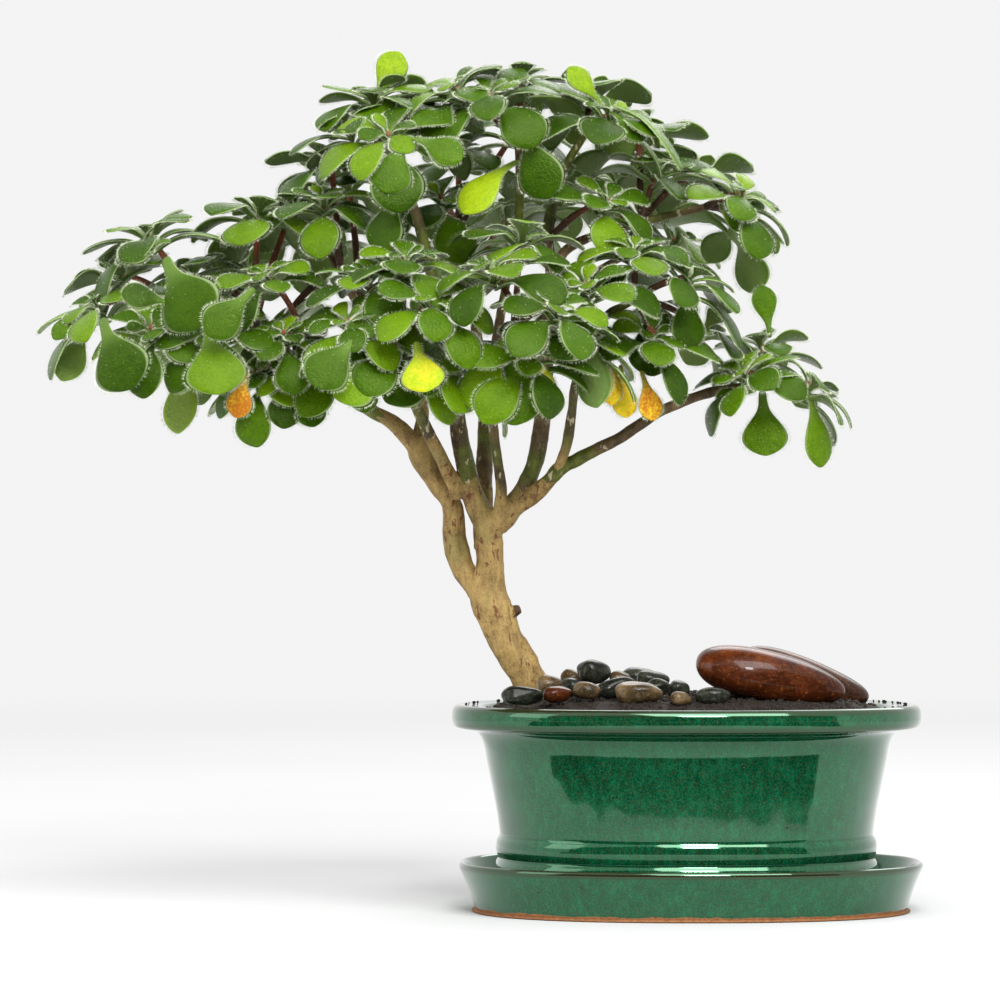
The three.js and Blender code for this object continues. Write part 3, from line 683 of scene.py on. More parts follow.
lip = np.stack([np.cos(turn), np.sin(turn)], axis=1)
lip = np.sign(lip) * np.abs(lip) ** (2 / OVAL_POWER) * LIP_HALF + [POT_X, 0]
spilt = crumbs(len(lip), 8, (0.25, 0.7)) + np.column_stack([lip, np.full(len(lip), LIP_TOP)])[:, None]
lumps = np.concatenate([lumps, spilt])
crumb_faces = repeated(capped(4, 6), len(lumps), 26)
add_piece("soil_crumbs", new_mesh("soil_crumbs", lumps * MM, crumb_faces), soil_mix, ["soil"])
print("crumbs", len(lumps))

# %% [markdown]
# Polished stone is soft clouds in three tones, with thin veins and flecks of a fourth. Each kind of stone
# differs only in its colours and in how fine its clouds are.

# %% Stone finishes
def polished(name, dark, middle, pale, vein, scale):
    """Wet river stone in three tones with thin veins and flecks of a fourth, clouded at a scale per metre."""
    finish = Finish(name, Coat_IOR=1.4, IOR=1.5, Specular_IOR_Level=0.1)
    cloud = finish.noise(scale, 6, 0.62)
    fleck = finish.noise(scale * 14, 3, 0.6)
    tone = finish.ramp(cloud * 0.8 + fleck * 0.2, (0.36, dark), (0.5, middle), (0.64, pale))
    line = finish.noise(scale * 0.7, 5, 0.65, (1, 2.5, 3))
    crack = line.between(0.478, 0.5) * line.between(0.522, 0.5)
    veined = finish.mix(crack * 0.15 + fleck.between(0.6, 0.7) * 0.45, tone, vein)
    relief = cloud * 0.5 + fleck * 0.12 + line * 0.3
    return finish.feed(
        Base_Color=veined, Roughness=0.2 + fleck * 0.2, Coat_Weight=0.15 + cloud * 0.5,
        Normal=finish.bump(relief, 0.5 * MM, 0.5),
    )


STONE_TONES = {
    "red_stone": ((0.014, 0.003, 0.001), (0.06, 0.0125, 0.003), (0.15, 0.034, 0.007), (0.23, 0.08, 0.02), 60),
    "brown_stone": ((0.018, 0.006, 0.003), (0.05, 0.018, 0.008), (0.1, 0.04, 0.018), (0.16, 0.08, 0.045), 60),
    "tan_pebble": ((0.02, 0.013, 0.006), (0.07, 0.045, 0.02), (0.16, 0.105, 0.05), (0.28, 0.21, 0.12), 110),
    "dark_pebble": (
        (0.004, 0.005, 0.0035), (0.016, 0.018, 0.012), (0.05, 0.053, 0.036), (0.13, 0.12, 0.08), 110
    ),
}
STONE_FINISHES = {name: polished(name, *tones) for name, tones in STONE_TONES.items()}

# %% [markdown]
# Each stone is an egg-like body with a soft relief, given by its centre and half sizes in mm, its tilt
# about Y and its turn about Z. The body narrows towards one end, and its corners are fuller than an egg's.

# %% Stones
STONES = [
    ("stone_front", (26, -22, 80.6), (25.6, 11.5, 8.6), 0.2, 0.06, "red_stone"),
    ("stone_rear", (40, 7, 79.3), (23.5, 9, 6.6), 0.33, -0.12, "brown_stone"),
    ("pebble_01", (-58, -38, 74.8), (6.8, 4.6, 3.3), 0, 0.1, "dark_pebble"),
    ("pebble_02", (-48.4, -22, 77.6), (4.5, 4.2, 3.6), 0.2, 0, "tan_pebble"),
    ("pebble_03", (-46, -35, 75.2), (5, 4, 2.7), -0.1, 0.2, "red_stone"),
    ("pebble_04", (-40.6, 2, 78.6), (4, 4, 3.6), 0, 0, "tan_pebble"),
    ("pebble_05", (-33.2, -8.4, 81.8), (5.4, 5, 4.2), 0.1, 0.3, "dark_pebble"),
    ("pebble_06", (-40.4, -12.8, 77), (4, 3.8, 3), 0, 0.4, "dark_pebble"),
    ("pebble_07", (-36, -31, 76.2), (4.8, 4.2, 2.9), 0.15, -0.2, "tan_pebble"),
    ("pebble_08", (-26, -21.6, 77), (7.6, 4, 3.1), -0.3, 0.2, "dark_pebble"),
    ("pebble_09", (-18.6, -36, 75.4), (8, 5.2, 3.9), 0, 0, "tan_pebble"),
    ("pebble_10", (-24.4, -5, 79.4), (3.6, 3.6, 2.6), 0, 0, "tan_pebble"),
    ("pebble_11", (-17, 8.6, 79.4), (7, 4.6, 3.4), 0.1, -0.1, "dark_pebble"),
    ("pebble_12", (-13, -3.4, 79), (6, 4, 3), 0.12, 0.2, "dark_pebble"),
    ("pebble_13", (-11.6, -14.6, 76.8), (4, 3.8, 2.9), 0, 0, "dark_pebble"),
    ("pebble_14", (-4.8, -23, 76.2), (3.6, 3.8, 3.2), 0, 0.3, "dark_pebble"),
    ("pebble_15", (-4.6, -43, 73.8), (3.7, 3, 2.3), 0.1, 0.5, "tan_pebble"),
    ("pebble_16", (6.2, -39, 74.6), (6, 4.2, 3), -0.1, -0.1, "dark_pebble"),
]


STONE_FULLNESS = 2.25


def stone_mesh(name, centre, half, tilt, turn, seed):
    """A worn stone: a full-cornered ball stretched to its half sizes, narrowed towards +X and turned.

    A ball's point is divided by its length in powers of STONE_FULLNESS, and ripple gives it a soft relief.
    """
    large = half[0] > 12
    rows, cols = (64, 96) if large else (24, 36)
    down = (np.arange(rows) + 0.5)[:, None] / rows * np.pi
    around = np.arange(cols) / cols * 2 * np.pi
    ring = [-np.cos(down) + 0 * around, np.sin(down) * np.cos(around), np.sin(down) * np.sin(around)]
    ball = np.stack(ring, axis=-1)
    full = ball / (np.abs(ball) ** STONE_FULLNESS).sum(-1, keepdims=True) ** (1 / STONE_FULLNESS)
    narrow = 1 - 0.16 * full[..., :1]
    body = full * half * np.concatenate([np.ones_like(narrow), narrow, narrow], axis=-1)
    body = with_ends(body)
    body *= 1 + (0.028 if large else 0.06) * ripple(body / np.array(half), 0.7, seed)[..., None]
    lean, spin = (np.cos(tilt), np.sin(tilt)), (np.cos(turn), np.sin(turn))
    tilted = body @ np.array([[lean[0], 0, -lean[1]], [0, 1, 0], [lean[1], 0, lean[0]]])
    turned = tilted @ np.array([[spin[0], spin[1], 0], [-spin[1], spin[0], 0], [0, 0, 1]])
    return new_mesh(name, (turned + centre) * MM, capped(rows, cols))


for seed, (name, centre, half, tilt, turn, kind) in enumerate(STONES):
    mesh = stone_mesh(name + "_worn", centre, half, tilt, turn, seed + 40)
    add_piece(name + "_worn", mesh, STONE_FINISHES[kind], [name])
print("stones", len(STONES))

# %% [markdown]
# The plastic screens over the drainage holes stay as the model has them, in a matt dark finish.

# %% Screens
screen_finish = Finish("screen_plastic", IOR=1.46)
screen_tone = screen_finish.ramp(
    screen_finish.noise(400, 3), (0.3, (0.012, 0.013, 0.014)), (0.7, (0.03, 0.032, 0.034))
)
screen_plastic = screen_finish.feed(Base_Color=screen_tone, Roughness=0.55 + screen_finish.noise(900) * 0.2)
for name in ("drain_screen_left", "drain_screen_right"):
    frame["nodes"][name].data.materials.clear()
    frame["nodes"][name].data.materials.append(screen_plastic)

# %% [markdown]
# ## Leaves
# Every shoot ends in a rosette. Leaves follow one another round it at the golden angle, the oldest lowest,
# longest and most fallen. A leaf is a spoon: a long winged stalk that opens into a round fleshy blade. Its
# midline is an arc, whose angle from the shoot goes evenly from `lift` at the foot to `fall` at the tip,
# and everything on the leaf, from its skin to its hairs, is placed from that arc.
#
# A row of BRANCHES holds where a leafy branch leaves its limb, then (x, y, z, size) for each rosette on it,
# in mm. PLACED holds the single leaves that stand out from the crown, by the number of their branch.

# %% Rosettes
BRANCHES = [
    [(-175, -4, 206), (-203, -12, 207, 1), (-198, 18, 219, 0.95), (-183, -35, 198, 0.95)],
    [(-170, -4, 205), (-186, -8, 231, 1), (-181, 30, 197, 0.9)],
    [(-160, -4, 202), (-172, 6, 219, 0.8), (-166, 12, 194, 0.8), (-159, -40, 198, 0.9)],
    [(-150, -6, 197.5), (-148, -4, 239, 1), (-137, 10, 240, 0.9)],
    [(-134, -8, 188.4), (-138, -38, 197, 0.7), (-135, -30, 186, 0.7), (-148, -26, 184, 0.85)],
    [(-147, -6, 196), (-164, 34, 218, 1), (-172, 56, 208, 1)],
    [(-126, -8, 183), (-144, -34, 217, 0.75), (-116, -30, 187, 0.9)],
    [(-120, -3, 220), (-126, -15, 243, 0.9), (-124, 8, 258, 0.9)],
    [(-113, 3, 206), (-119, 44, 252, 1), (-137, 44, 238, 1)],
    [(-107, -40, 196), (-116, -58, 200, 0.8), (-110, -47, 216, 0.85), (-97, -54, 190, 1)],
    [(-99, -29, 187), (-97, -50, 221, 0.9), (-88, -66, 207, 0.9), (-78, -46, 186, 1)],
    [(-100, -13, 258), (-109, -4, 278, 0.9), (-103, -34, 264, 1), (-90, 16, 273, 1),
     (-118, -12, 267, 0.9)],
    [(-59, -8, 262), (-69, -26, 278, 1), (-58, 0, 285, 0.85), (-81, -18, 281, 0.9)],
    [(-58, -54, 200), (-69, -63, 217, 1), (-46, -74, 204, 0.9), (-54, -62, 188, 0.95)],
    [(-61, -44, 194.5), (-58, -42, 229, 0.9), (-36, -50, 194, 0.95)],
    [(-36, -9, 267), (-27, -15, 272, 0.95), (-34, 17, 278, 0.95)],
    [(-17, -0.5, 236), (-11, 4, 254, 0.9), (-17, 30, 267, 1), (4, 28, 254, 1)],
    [(5, -4, 241), (18, -10, 245, 0.85), (16, 14, 237, 0.85)],
    [(-48.5, -4, 230), (-29, -24, 242, 0.9), (-45, 22, 248, 0.9), (-65, 10, 236, 0.85)],
    [(28, -11, 179), (41, -10, 180, 0.85), (24, -2, 194, 0.75), (17, -24, 184, 0.8)],
    [(-20, -30, 208), (-1, -34, 216, 0.95), (-20, -38, 225, 0.85), (-37, -58, 212, 0.85),
     (-14, -40, 196, 0.9), (4, -12, 199, 0.9)],
    [(-80, 51, 234), (-80, 56, 263, 1), (-58, 46, 272, 1), (-86, 22, 246, 0.9)],
    [(-76, 44, 212), (-88, 88, 231, 1), (-64, 86, 240, 1)],
    [(-20, 63, 228), (-2, 64, 233, 1), (-24, 72, 254, 1)],
    [(-131, 63, 217), (-155, 72, 222, 1), (-127, 80, 236, 1), (-143, 62, 203, 0.9)],
]
FRONT = (0, -0.9, 0.4)
FRONT_LEFT = (-0.5, -0.8, 0.4)
FRONT_RIGHT = (0.5, -0.8, 0.4)
SKY = (0, -0.3, 1)
PLACED = {
    12: [((-109, -8, 276), (-99.5, -6, 294), (-0.2, -1, 0.1), 0.5, 1.15, 0.62),
         ((-109, -9, 277), (-126, -13, 282), SKY, 0.7, 1.0, 0.35),
         ((-108, -8, 277), (-88, -14, 280), SKY, 1.3, 0.9, 0.4),
         ((-97, -42, 262), (-104, -50, 243), FRONT, 0.7, 1.4, 0.25),
         ((-99, -32, 246), (-106, -38, 224), FRONT_LEFT, 0.8, 1.3, 0.2),
         ((-95, -44, 262), (-78, -52, 254), FRONT, 0.9, 1.1, 0.3)],
    13: [((-58, -30, 268), (-48.5, -36, 242), FRONT_LEFT, 0.7, 1.2, 0.15),
         ((-59, -24, 256), (-78, -34, 237), FRONT_LEFT, 0.9, 1.05, 0.72)],
    16: [((-28, -20, 275), (-4, -32, 252), (0.8, -0.3, 0.5), 1.1, 0.75, 0.35),
         ((-28, -20, 273), (-17, -27, 262), FRONT_RIGHT, 0.6, 1.35, 0.2),
         ((-30, -16, 274), (-42, -18, 288), (0.5, -1, 0.2), 0.5, 1.05, 0.6)],
    14: [((-58.5, -60, 196), (-61, -70, 165), FRONT, 0.7, 1.25, 0.3),
         ((-63, -60, 196), (-74, -68, 170), FRONT_LEFT, 0.8, 1.2, 0.5),
         ((-56, -58, 194), (-50, -64, 171), FRONT_RIGHT, 0.7, 1.05, 0.84)],
    15: [((-36, -52, 199), (-33, -58, 171), (0.3, 0.9, 0.2), 0.6, 0.95, 0.3),
         ((-30, -50, 192), (-28, -52, 172), FRONT_RIGHT, 0.5, 0.9, 0.92)],
    21: [((-15, -32, 208), (-14, -38, 182), FRONT, 0.6, 1.25, 0.1),
         ((-4, -36, 214), (-2, -42, 191), FRONT_RIGHT, 0.7, 1.2, 0.12),
         ((-18, -44, 184), (-14, -46, 167), FRONT_RIGHT, 0.5, 1.2, 0.97),
         ((-25, -42, 186), (-23, -46, 168), FRONT, 0.5, 1.0, 0.9)],
    20: [((24, -13, 178), (25, -17, 155.5), FRONT, 0.5, 1.45, 0.35),
         ((39.5, -11, 179), (44, -15, 151.5), FRONT_RIGHT, 0.6, 0.85, 0.4),
         ((22, -14, 178), (8, -18, 174), FRONT, 0.7, 1.0, 0.35),
         ((27, -8, 196), (24, -10, 214), (0.2, -0.9, 0.3), 0.5, 1.1, 0.3)],
    1: [((-199, -44, 201.5), (-188, -54, 177.5), FRONT_LEFT, 0.8, 1.5, 0.12),
        ((-175, -46, 206), (-191.5, -54, 209.5), FRONT_LEFT, 0.7, 1.15, 0.1),
        ((-206, -8, 203), (-215, -12, 181), (0.4, 0.9, 0.2), 0.6, 1.0, 0.5),
        ((-206, -14, 207), (-217, -20, 195), FRONT_LEFT, 0.8, 1.0, 0.3)],
    2: [((-187, -14, 230), (-170, -20, 237), SKY, 1.3, 0.8, 0.3),
        ((-177, -24, 229), (-193.5, -34, 221.5), FRONT_LEFT, 0.7, 1.2, 0.12),
        ((-178, -42, 222), (-164.5, -54, 198), FRONT_LEFT, 0.8, 1.6, 0.18)],
    3: [((-163, -50, 199), (-158.5, -62, 175.5), FRONT, 0.6, 1.6, 0.42),
        ((-147, -58, 211), (-162.5, -65, 195), FRONT_RIGHT, 0.6, 1.2, 0.22),
        ((-173, 0, 194), (-175.5, -6, 163), (0.4, 0.9, 0.2), 0.4, 0.9, 0.66)],
    5: [((-150, -42, 184), (-154, -44, 168), FRONT, 0.7, 1.15, 0.99),
        ((-131, -34, 180), (-128, -40, 165), FRONT, 0.6, 1.3, 0.2)],
    10: [((-101, -60, 189), (-120, -68, 174), FRONT, 0.6, 1.5, 0.5),
         ((-112, -68, 195), (-127, -75, 178), FRONT, 0.6, 1.4, 0.2),
         ((-93, -68, 193), (-90, -74, 176), FRONT, 0.6, 1.7, 0.8),
         ((-108, -58, 207), (-111, -66, 194), FRONT, 0.6, 1.6, 0.2)],
}
LEAF_LENGTH = 34
LEAF_WIDTH = 0.56
LEAF_THICK = 1.8
LEAF_TURNS = 13
GOLDEN_ANGLE = 2.39996
ROSETTE_DEPTH = 7
UP = np.array([0, 0, 1.0])
BACK = np.array([0, 1.0, 0])


def twig_lines(start, tips):
    """The bowed middle of each twig and the axis of the rosette at its tip, all (tips, 3)."""
    reach = np.linalg.norm(tips - start, axis=-1, keepdims=True)
    middle = (start + tips) / 2 + UP * 0.15 * reach
    axis = unit(0.52 * unit(tips - middle) + 0.85 * UP)
    return middle, axis


def rosettes(tips, sizes, axis, seeds):
    """Every leaf of some rosettes as a dictionary of arrays with one entry a leaf."""
    k = np.arange(LEAF_TURNS)
    age = 1 - k / LEAF_TURNS
    seeds = seeds[:, None]
    across = unit(np.cross(BACK, axis))
    along = np.cross(axis, across)
    turn = GOLDEN_ANGLE * k + 2 * np.pi * chance(seeds)
    outward = np.cos(turn)[..., None] * across[:, None] + np.sin(turn)[..., None] * along[:, None]
    heart = 0.35 + 0.65 * np.clip(age / 0.55, 0, 1)
    length = LEAF_LENGTH * sizes[:, None] * (0.5 + 0.4 * age + 0.1 * chance(seeds + 3 * k + 1)) * heart
    lift = 0.25 + 0.75 * age + 0 * seeds
    fall = 1.2 + 1.35 * age + 0.6 * chance(seeds + 3 * k + 2)
    leaves = {
        "foot": tips[:, None] - ROSETTE_DEPTH * age[:, None] * axis[:, None],
        "axis": np.broadcast_to(axis[:, None], outward.shape),
        "outward": outward,
        "length": length,
        "lift": lift,
        "fall": fall,
        "wide": 0.88 + 0.3 * chance(seeds + 3 * k + 5),
        "twist": 0.7 * (chance(seeds + 3 * k + 7) - 0.5),
        "cup": 0.1 - 0.26 * chance(seeds + 3 * k + 9),
        "tone": 0.08 + 0.4 * chance(seeds + 3 * k + 11) ** 1.6 + 0.12 * (1 - age),
    }
    return {key: v.reshape(-1, 3) if v.ndim == 3 else v.reshape(-1) for key, v in leaves.items()}


def placed_leaves(rows):
    """Leaves given one by one, each as (foot, tip, face, bend, wide, tone): it runs from foot to tip in mm.

    Its middle faces the `face` direction, and it bends away from it by `bend` radians from end to end.
    """
    foot, tip, face = (np.array([row[i] for row in rows], float) for i in range(3))
    bend, wide, tone = np.array([row[3:] for row in rows], float).T
    outward = unit(tip - foot)
    axis = unit(face - (face * outward).sum(-1, keepdims=True) * outward)
    chord = np.linalg.norm(tip - foot, axis=1)
    return {
        "foot": foot, "axis": axis, "outward": outward, "length": chord * (bend / 2) / np.sin(bend / 2),
        "lift": np.pi / 2 - bend / 2, "fall": np.pi / 2 + bend / 2, "wide": wide,
        "twist": 0.3 * (chance(foot[:, 0]) - 0.5), "cup": -0.05 - 0.1 * chance(foot[:, 2]), "tone": tone,
    }


def midline(leaf, t):
    """Where each leaf's midline is at share t of its length, with its forward, side and upward directions.

    t is (leaves, places); the results are (leaves, places, 3).
    """
    column = {key: v[:, None] for key, v in leaf.items()}
    bend = column["fall"] - column["lift"]
    angle = column["lift"] + bend * t
    rise = column["length"] * (np.sin(angle) - np.sin(column["lift"])) / bend
    reach = column["length"] * (np.cos(column["lift"]) - np.cos(angle)) / bend
    centre = column["foot"] + column["axis"] * rise[..., None] + column["outward"] * reach[..., None]
    cosine, sine = np.cos(angle)[..., None], np.sin(angle)[..., None]
    forward = column["axis"] * cosine + column["outward"] * sine
    flat_up = column["axis"] * sine - column["outward"] * cosine
    flat_side = np.cross(column["outward"], column["axis"])
    roll = (column["twist"] * t)[..., None]
    side = flat_side * np.cos(roll) + flat_up * np.sin(roll)
    return centre, forward, side, flat_up * np.cos(roll) - flat_side * np.sin(roll)


def half_width(leaf, t):
    """Half the leaf's width in mm at share t of its length: a narrow wing, then a round blade."""
    open_up = np.clip((t - 0.24) / 0.76, 0, 1)
    blade = np.sin(np.pi * open_up**1.6).clip(0) ** 0.66
    wing = 0.17 * (1 - t**8)
    share = np.hypot(wing, blade)
    return share * leaf["wide"][:, None] * LEAF_WIDTH / 2 * leaf["length"][:, None]


# %% [markdown]
# The skin is six points round each of eleven sections, rounded by one level of subdivision. The two edges
# lie a little above the middle or below it, which cups the blade or arches it.

# %% Leaf skins
LEAF_ROWS = np.array([0, 0.15, 0.31, 0.43, 0.54, 0.65, 0.76, 0.86, 0.93, 0.975, 0.996])
RING_ACROSS = np.array([-1, -0.55, 0.55, 1, 0.6, -0.6])
RING_THICK = np.array([-0.3, 0.12, 0.12, -0.3, -0.85, -0.85])


def leaf_skins(leaf):
    """Closed skins of all the leaves, as (leaves, points, 3) in mm, with the same faces for each."""
    t = np.broadcast_to(LEAF_ROWS, (len(leaf["length"]), len(LEAF_ROWS)))
    centre, forward, side, up = midline(leaf, t)
    width = half_width(leaf, t)
    plump = 0.62 + 0.38 * np.sin(np.pi * np.clip(t, 0, 1) ** 0.9)
    thick = LEAF_THICK * plump * np.clip(leaf["length"][:, None] / 26, 0.45, 1.1)
    cup = (leaf["cup"][:, None] * width)[..., None] * np.abs(RING_ACROSS) ** 2
    sideways = side[:, :, None] * (width[..., None] * RING_ACROSS)[..., None]
    upward = up[:, :, None] * (thick[..., None] * RING_THICK + cup)[..., None]
    return with_ends(centre[:, :, None] + sideways + upward)


def per_leaf(leaf, label):
    """One of the leaf's numbers repeated for each point of its skin."""
    return np.repeat(leaf[label], len(LEAF_ROWS) * 6 + 2)


def skin_values():
    """For one leaf's points: how far each lies under the leaf, near the rim, and along it."""
    rows = len(LEAF_ROWS)
    under = np.tile((RING_THICK < -0.5).astype(float), rows)
    rim = np.tile((np.abs(RING_ACROSS) > 0.9).astype(float), rows)
    along = np.repeat(LEAF_ROWS, 6)
    ends = {"under": [0.5, 0.5], "rim": [1, 1], "along": [0, 1]}
    return {key: np.append(v, ends[key]) for key, v in {"under": under, "rim": rim, "along": along}.items()}


# %% [markdown]
# ## Leaf finish
# The upper side is deep green, glossy under its down, and younger or thinner leaves are yellower. A dying
# leaf turns yellow, then orange, which is the far end of the same ramp. The under side and the stalk are
# paler and greyer. A little light goes through, and sheen stands for the finest down.

# %% Leaf and hair finishes
leaf_finish = Finish(
    "foliage", Subsurface_Weight=0.15, Subsurface_Scale=2 * MM, Subsurface_Radius=(0.5, 1.0, 0.1),
    Sheen_Weight=0.02, Sheen_Roughness=0.4, Sheen_Tint=(0.85, 0.95, 0.6, 1), IOR=1.42,
    Specular_IOR_Level=0.42, Specular_Tint=(0.78, 1, 0.4, 1),
)
mottle = leaf_finish.noise(160, 4, 0.6)
pebble = leaf_finish.noise(1100, 3, 0.65)
tone = leaf_finish.value("tone") + (mottle - 0.5) * 0.22
shade = tone + (pebble - 0.5) * 0.3
upper = leaf_finish.ramp(
    shade,
    (0.0, (0.009, 0.028, 0.0003)), (0.28, (0.043, 0.105, 0.0006)), (0.55, (0.13, 0.24, 0.002)),
    (0.78, (0.36, 0.48, 0.01)), (0.9, (0.75, 0.52, 0.02)), (1.0, (0.42, 0.13, 0.01)),
)
lower = leaf_finish.mix(0.6, upper, (0.17, 0.24, 0.08))
sided = leaf_finish.mix(leaf_finish.value("under").between(0.25, 0.9), upper, lower)
stalk = leaf_finish.mix(leaf_finish.value("along").between(0.5, 0.2) * 0.6, sided, (0.13, 0.22, 0.04))
rimmed = leaf_finish.mix(leaf_finish.value("rim").between(0.55, 0.85) * 0.6, stalk, (0.38, 0.47, 0.24))
foliage = leaf_finish.feed(
    Base_Color=rimmed, Roughness=0.15 + pebble * 0.16, Normal=leaf_finish.bump(pebble, 0.45 * MM, 1.0)
)
hair_finish = Finish("leaf_hair", Specular_IOR_Level=0.3)
hair_tone = hair_finish.ramp(hair_finish.noise(300), (0.3, (0.6, 0.7, 0.42)), (0.7, (0.88, 0.92, 0.72)))
hair = hair_finish.feed(Base_Color=hair_tone, Roughness=0.5 + hair_finish.noise(200) * 0.2)
twig_finish = Finish("twig_bark", Specular_IOR_Level=0.4)
reddening = twig_finish.value("along") + (twig_finish.noise(200, 3) - 0.5) * 0.5
twig_tone = twig_finish.ramp(
    reddening, (0.1, (0.045, 0.022, 0.008)), (0.5, (0.1, 0.035, 0.012)), (0.9, (0.3, 0.075, 0.035))
)
twig_bark = twig_finish.feed(Base_Color=twig_tone, Roughness=0.5 + twig_finish.noise(600) * 0.3)

# %% [markdown]
# Fine white hairs stand out from the leaf's margin and, fewer, from its faces and from the twigs. Each is a
# closed three-sided spike, and thousands of them make the pale halo round every leaf.

# %% Hairs
SPIKE_FACES = [np.array([[0, 1, 3], [1, 2, 3], [2, 0, 3], [2, 1, 0]])]
ROOTED_AT = 0.87


def spikes(roots, directions, lengths, radius=0.065):
    """Three-sided spikes in mm: (n, 4, 3) points, three round the root and one at the end."""
    helper = np.where(np.abs(directions[:, 2:]) > 0.8, [1.0, 0, 0], [0, 0, 1.0])
    across = unit(np.cross(directions, helper))
    along = np.cross(directions, across)
    turn = np.arange(3) * 2 * np.pi / 3
    ring = across[:, None] * np.cos(turn)[:, None] + along[:, None] * np.sin(turn)[:, None]
    tips = roots + directions * lengths[:, None]
    return np.concatenate([roots[:, None] + ring * radius, tips[:, None]], axis=1)


def leaf_hairs(leaf, seed, margin=190, face=24):
    """Hairs of some leaves: `margin` along each leaf's two edges and `face` on its sides and stalk.

    A hair at share t of the leaf's length and share `spot` of its half width leans out from the margin there,
    which is the side direction less the forward one times the width's slope, and a face hair leans up too.
    """
    random = np.random.default_rng(seed)
    count = len(leaf["length"])
    along_edge = np.broadcast_to(np.linspace(0.02, 0.997, margin) ** 0.85, (count, margin))
    t = np.concatenate([along_edge, random.uniform(0, 0.97, (count, face))], axis=1)
    which = np.sign(random.uniform(-1, 1, t.shape))
    inward = random.uniform(0.1, 0.95, (count, face))
    spot = np.concatenate([np.ones((count, margin)), inward], axis=1) * which
    centre, forward, side, up = midline(leaf, t)
    width = half_width(leaf, t)
    step = 0.004
    slope = (half_width(leaf, t + step) - half_width(leaf, t - step)) / (2 * step * leaf["length"][:, None])
    back = forward * np.clip(slope, -9, 3)[..., None] * np.abs(spot)[..., None]
    out = unit(side * spot[..., None] - back + 1e-6)
    face_side = np.sign(random.uniform(-0.6, 1, (count, face)))
    over = np.concatenate([np.zeros((count, margin)), face_side], axis=1)
    cup = leaf["cup"][:, None] * width * spot**2
    thick = np.where(over > 0, 0.0, np.where(over < 0, -1.2, -0.5))
    root = centre + side * (spot * width * ROOTED_AT)[..., None] + up * (cup + thick)[..., None]
    lean = random.normal(0, 0.22, (*t.shape, 3))
    away = unit(out + up * (over * 2.2)[..., None] + lean)
    size = random.uniform(0.7, 1.2, t.shape) * np.where(over == 0, 1.15, 0.65)
    return spikes(root.reshape(-1, 3), away.reshape(-1, 3), size.ravel())


def twig_hairs(centre, seed, count=90):
    """Hairs that point every way from random places on a twig's line, from just under its skin."""
    random = np.random.default_rng(seed)
    pick = random.integers(0, len(centre), count)
    away = unit(random.normal(size=(count, 3)))
    return spikes(centre[pick] + away * 0.8, away, random.uniform(0.5, 1.1, count) + 0.3, 0.06)


# %% [markdown]
# Now each leafy branch is grown: its twigs from the limb to each tip, the rosette on each, and the hairs on
# all of them. All three stand for the one plain solid that the frame has for the branch.

# %% Leafy branches
leaf_total = 0
hair_total = 0
for number, (start, *tips) in enumerate(BRANCHES):
    label = f"{number + 1:02d}"
    node = "leafy_branch_" + label
    table = np.array(tips, float)
    ends, sizes = table[:, :3], table[:, 3]
    middle, axis = twig_lines(np.array(start, float), ends)
    seeds = 100 * number + 31 * np.arange(len(ends)) + 7
    t = np.linspace(0, 1, 15)[:, None]
    curves = [(1 - t) ** 2 * start + 2 * t * (1 - t) * m + t**2 * e for m, e in zip(middle, ends)]
    grids = [stem_grid(np.hstack([c, 1.25 - 0.3 * t]), 10, 1.6, 0.1, number + 5) for c in curves]
    twigs = stems_mesh("twigs_" + label, grids)
    steps = [np.append(np.repeat(np.linspace(0, 1, len(g)), 10), [0, 1]) for g in grids]
    layer = twigs.attributes.new("along", "FLOAT", "POINT")
    layer.data.foreach_set("value", np.concatenate(steps).astype(np.float32))
    add_piece("twigs_" + label, twigs, twig_bark, [node])

    leaf = rosettes(ends, sizes, axis, seeds)
    if number + 1 in PLACED:
        more = placed_leaves(PLACED[number + 1])
        leaf = {key: np.concatenate([v, more[key]]) for key, v in leaf.items()}
    skins = leaf_skins(leaf)
    count = len(skins)
    values = {key: np.tile(v, count) for key, v in skin_values().items()}
    faces = repeated(capped(len(LEAF_ROWS), 6), count, skins.shape[1])
    mesh = new_mesh("leaves_" + label, skins * MM, faces, tone=per_leaf(leaf, "tone"), **values)
    leaves = add_piece("leaves_" + label, mesh, foliage, [node])
    round_off = leaves.modifiers.new("round off", "SUBSURF")
    round_off.levels = round_off.render_levels = 1

    on_twigs = [twig_hairs(curve, number + i) for i, curve in enumerate(curves)]
    hairs = np.concatenate([leaf_hairs(leaf, number), *on_twigs])
    hair_mesh = new_mesh("hairs_" + label, hairs * MM, repeated(SPIKE_FACES, len(hairs), 4))
    add_piece("hairs_" + label, hair_mesh, hair, [node])
    leaf_total += count
    hair_total += len(hairs)
print("leaves", leaf_total, "hairs", hair_total)

# %% [markdown]
# ## Stage and light
# The tree stands on a wide pale table in a white room. Far from the tree the table fades to the room's
# white, so that no horizon shows.

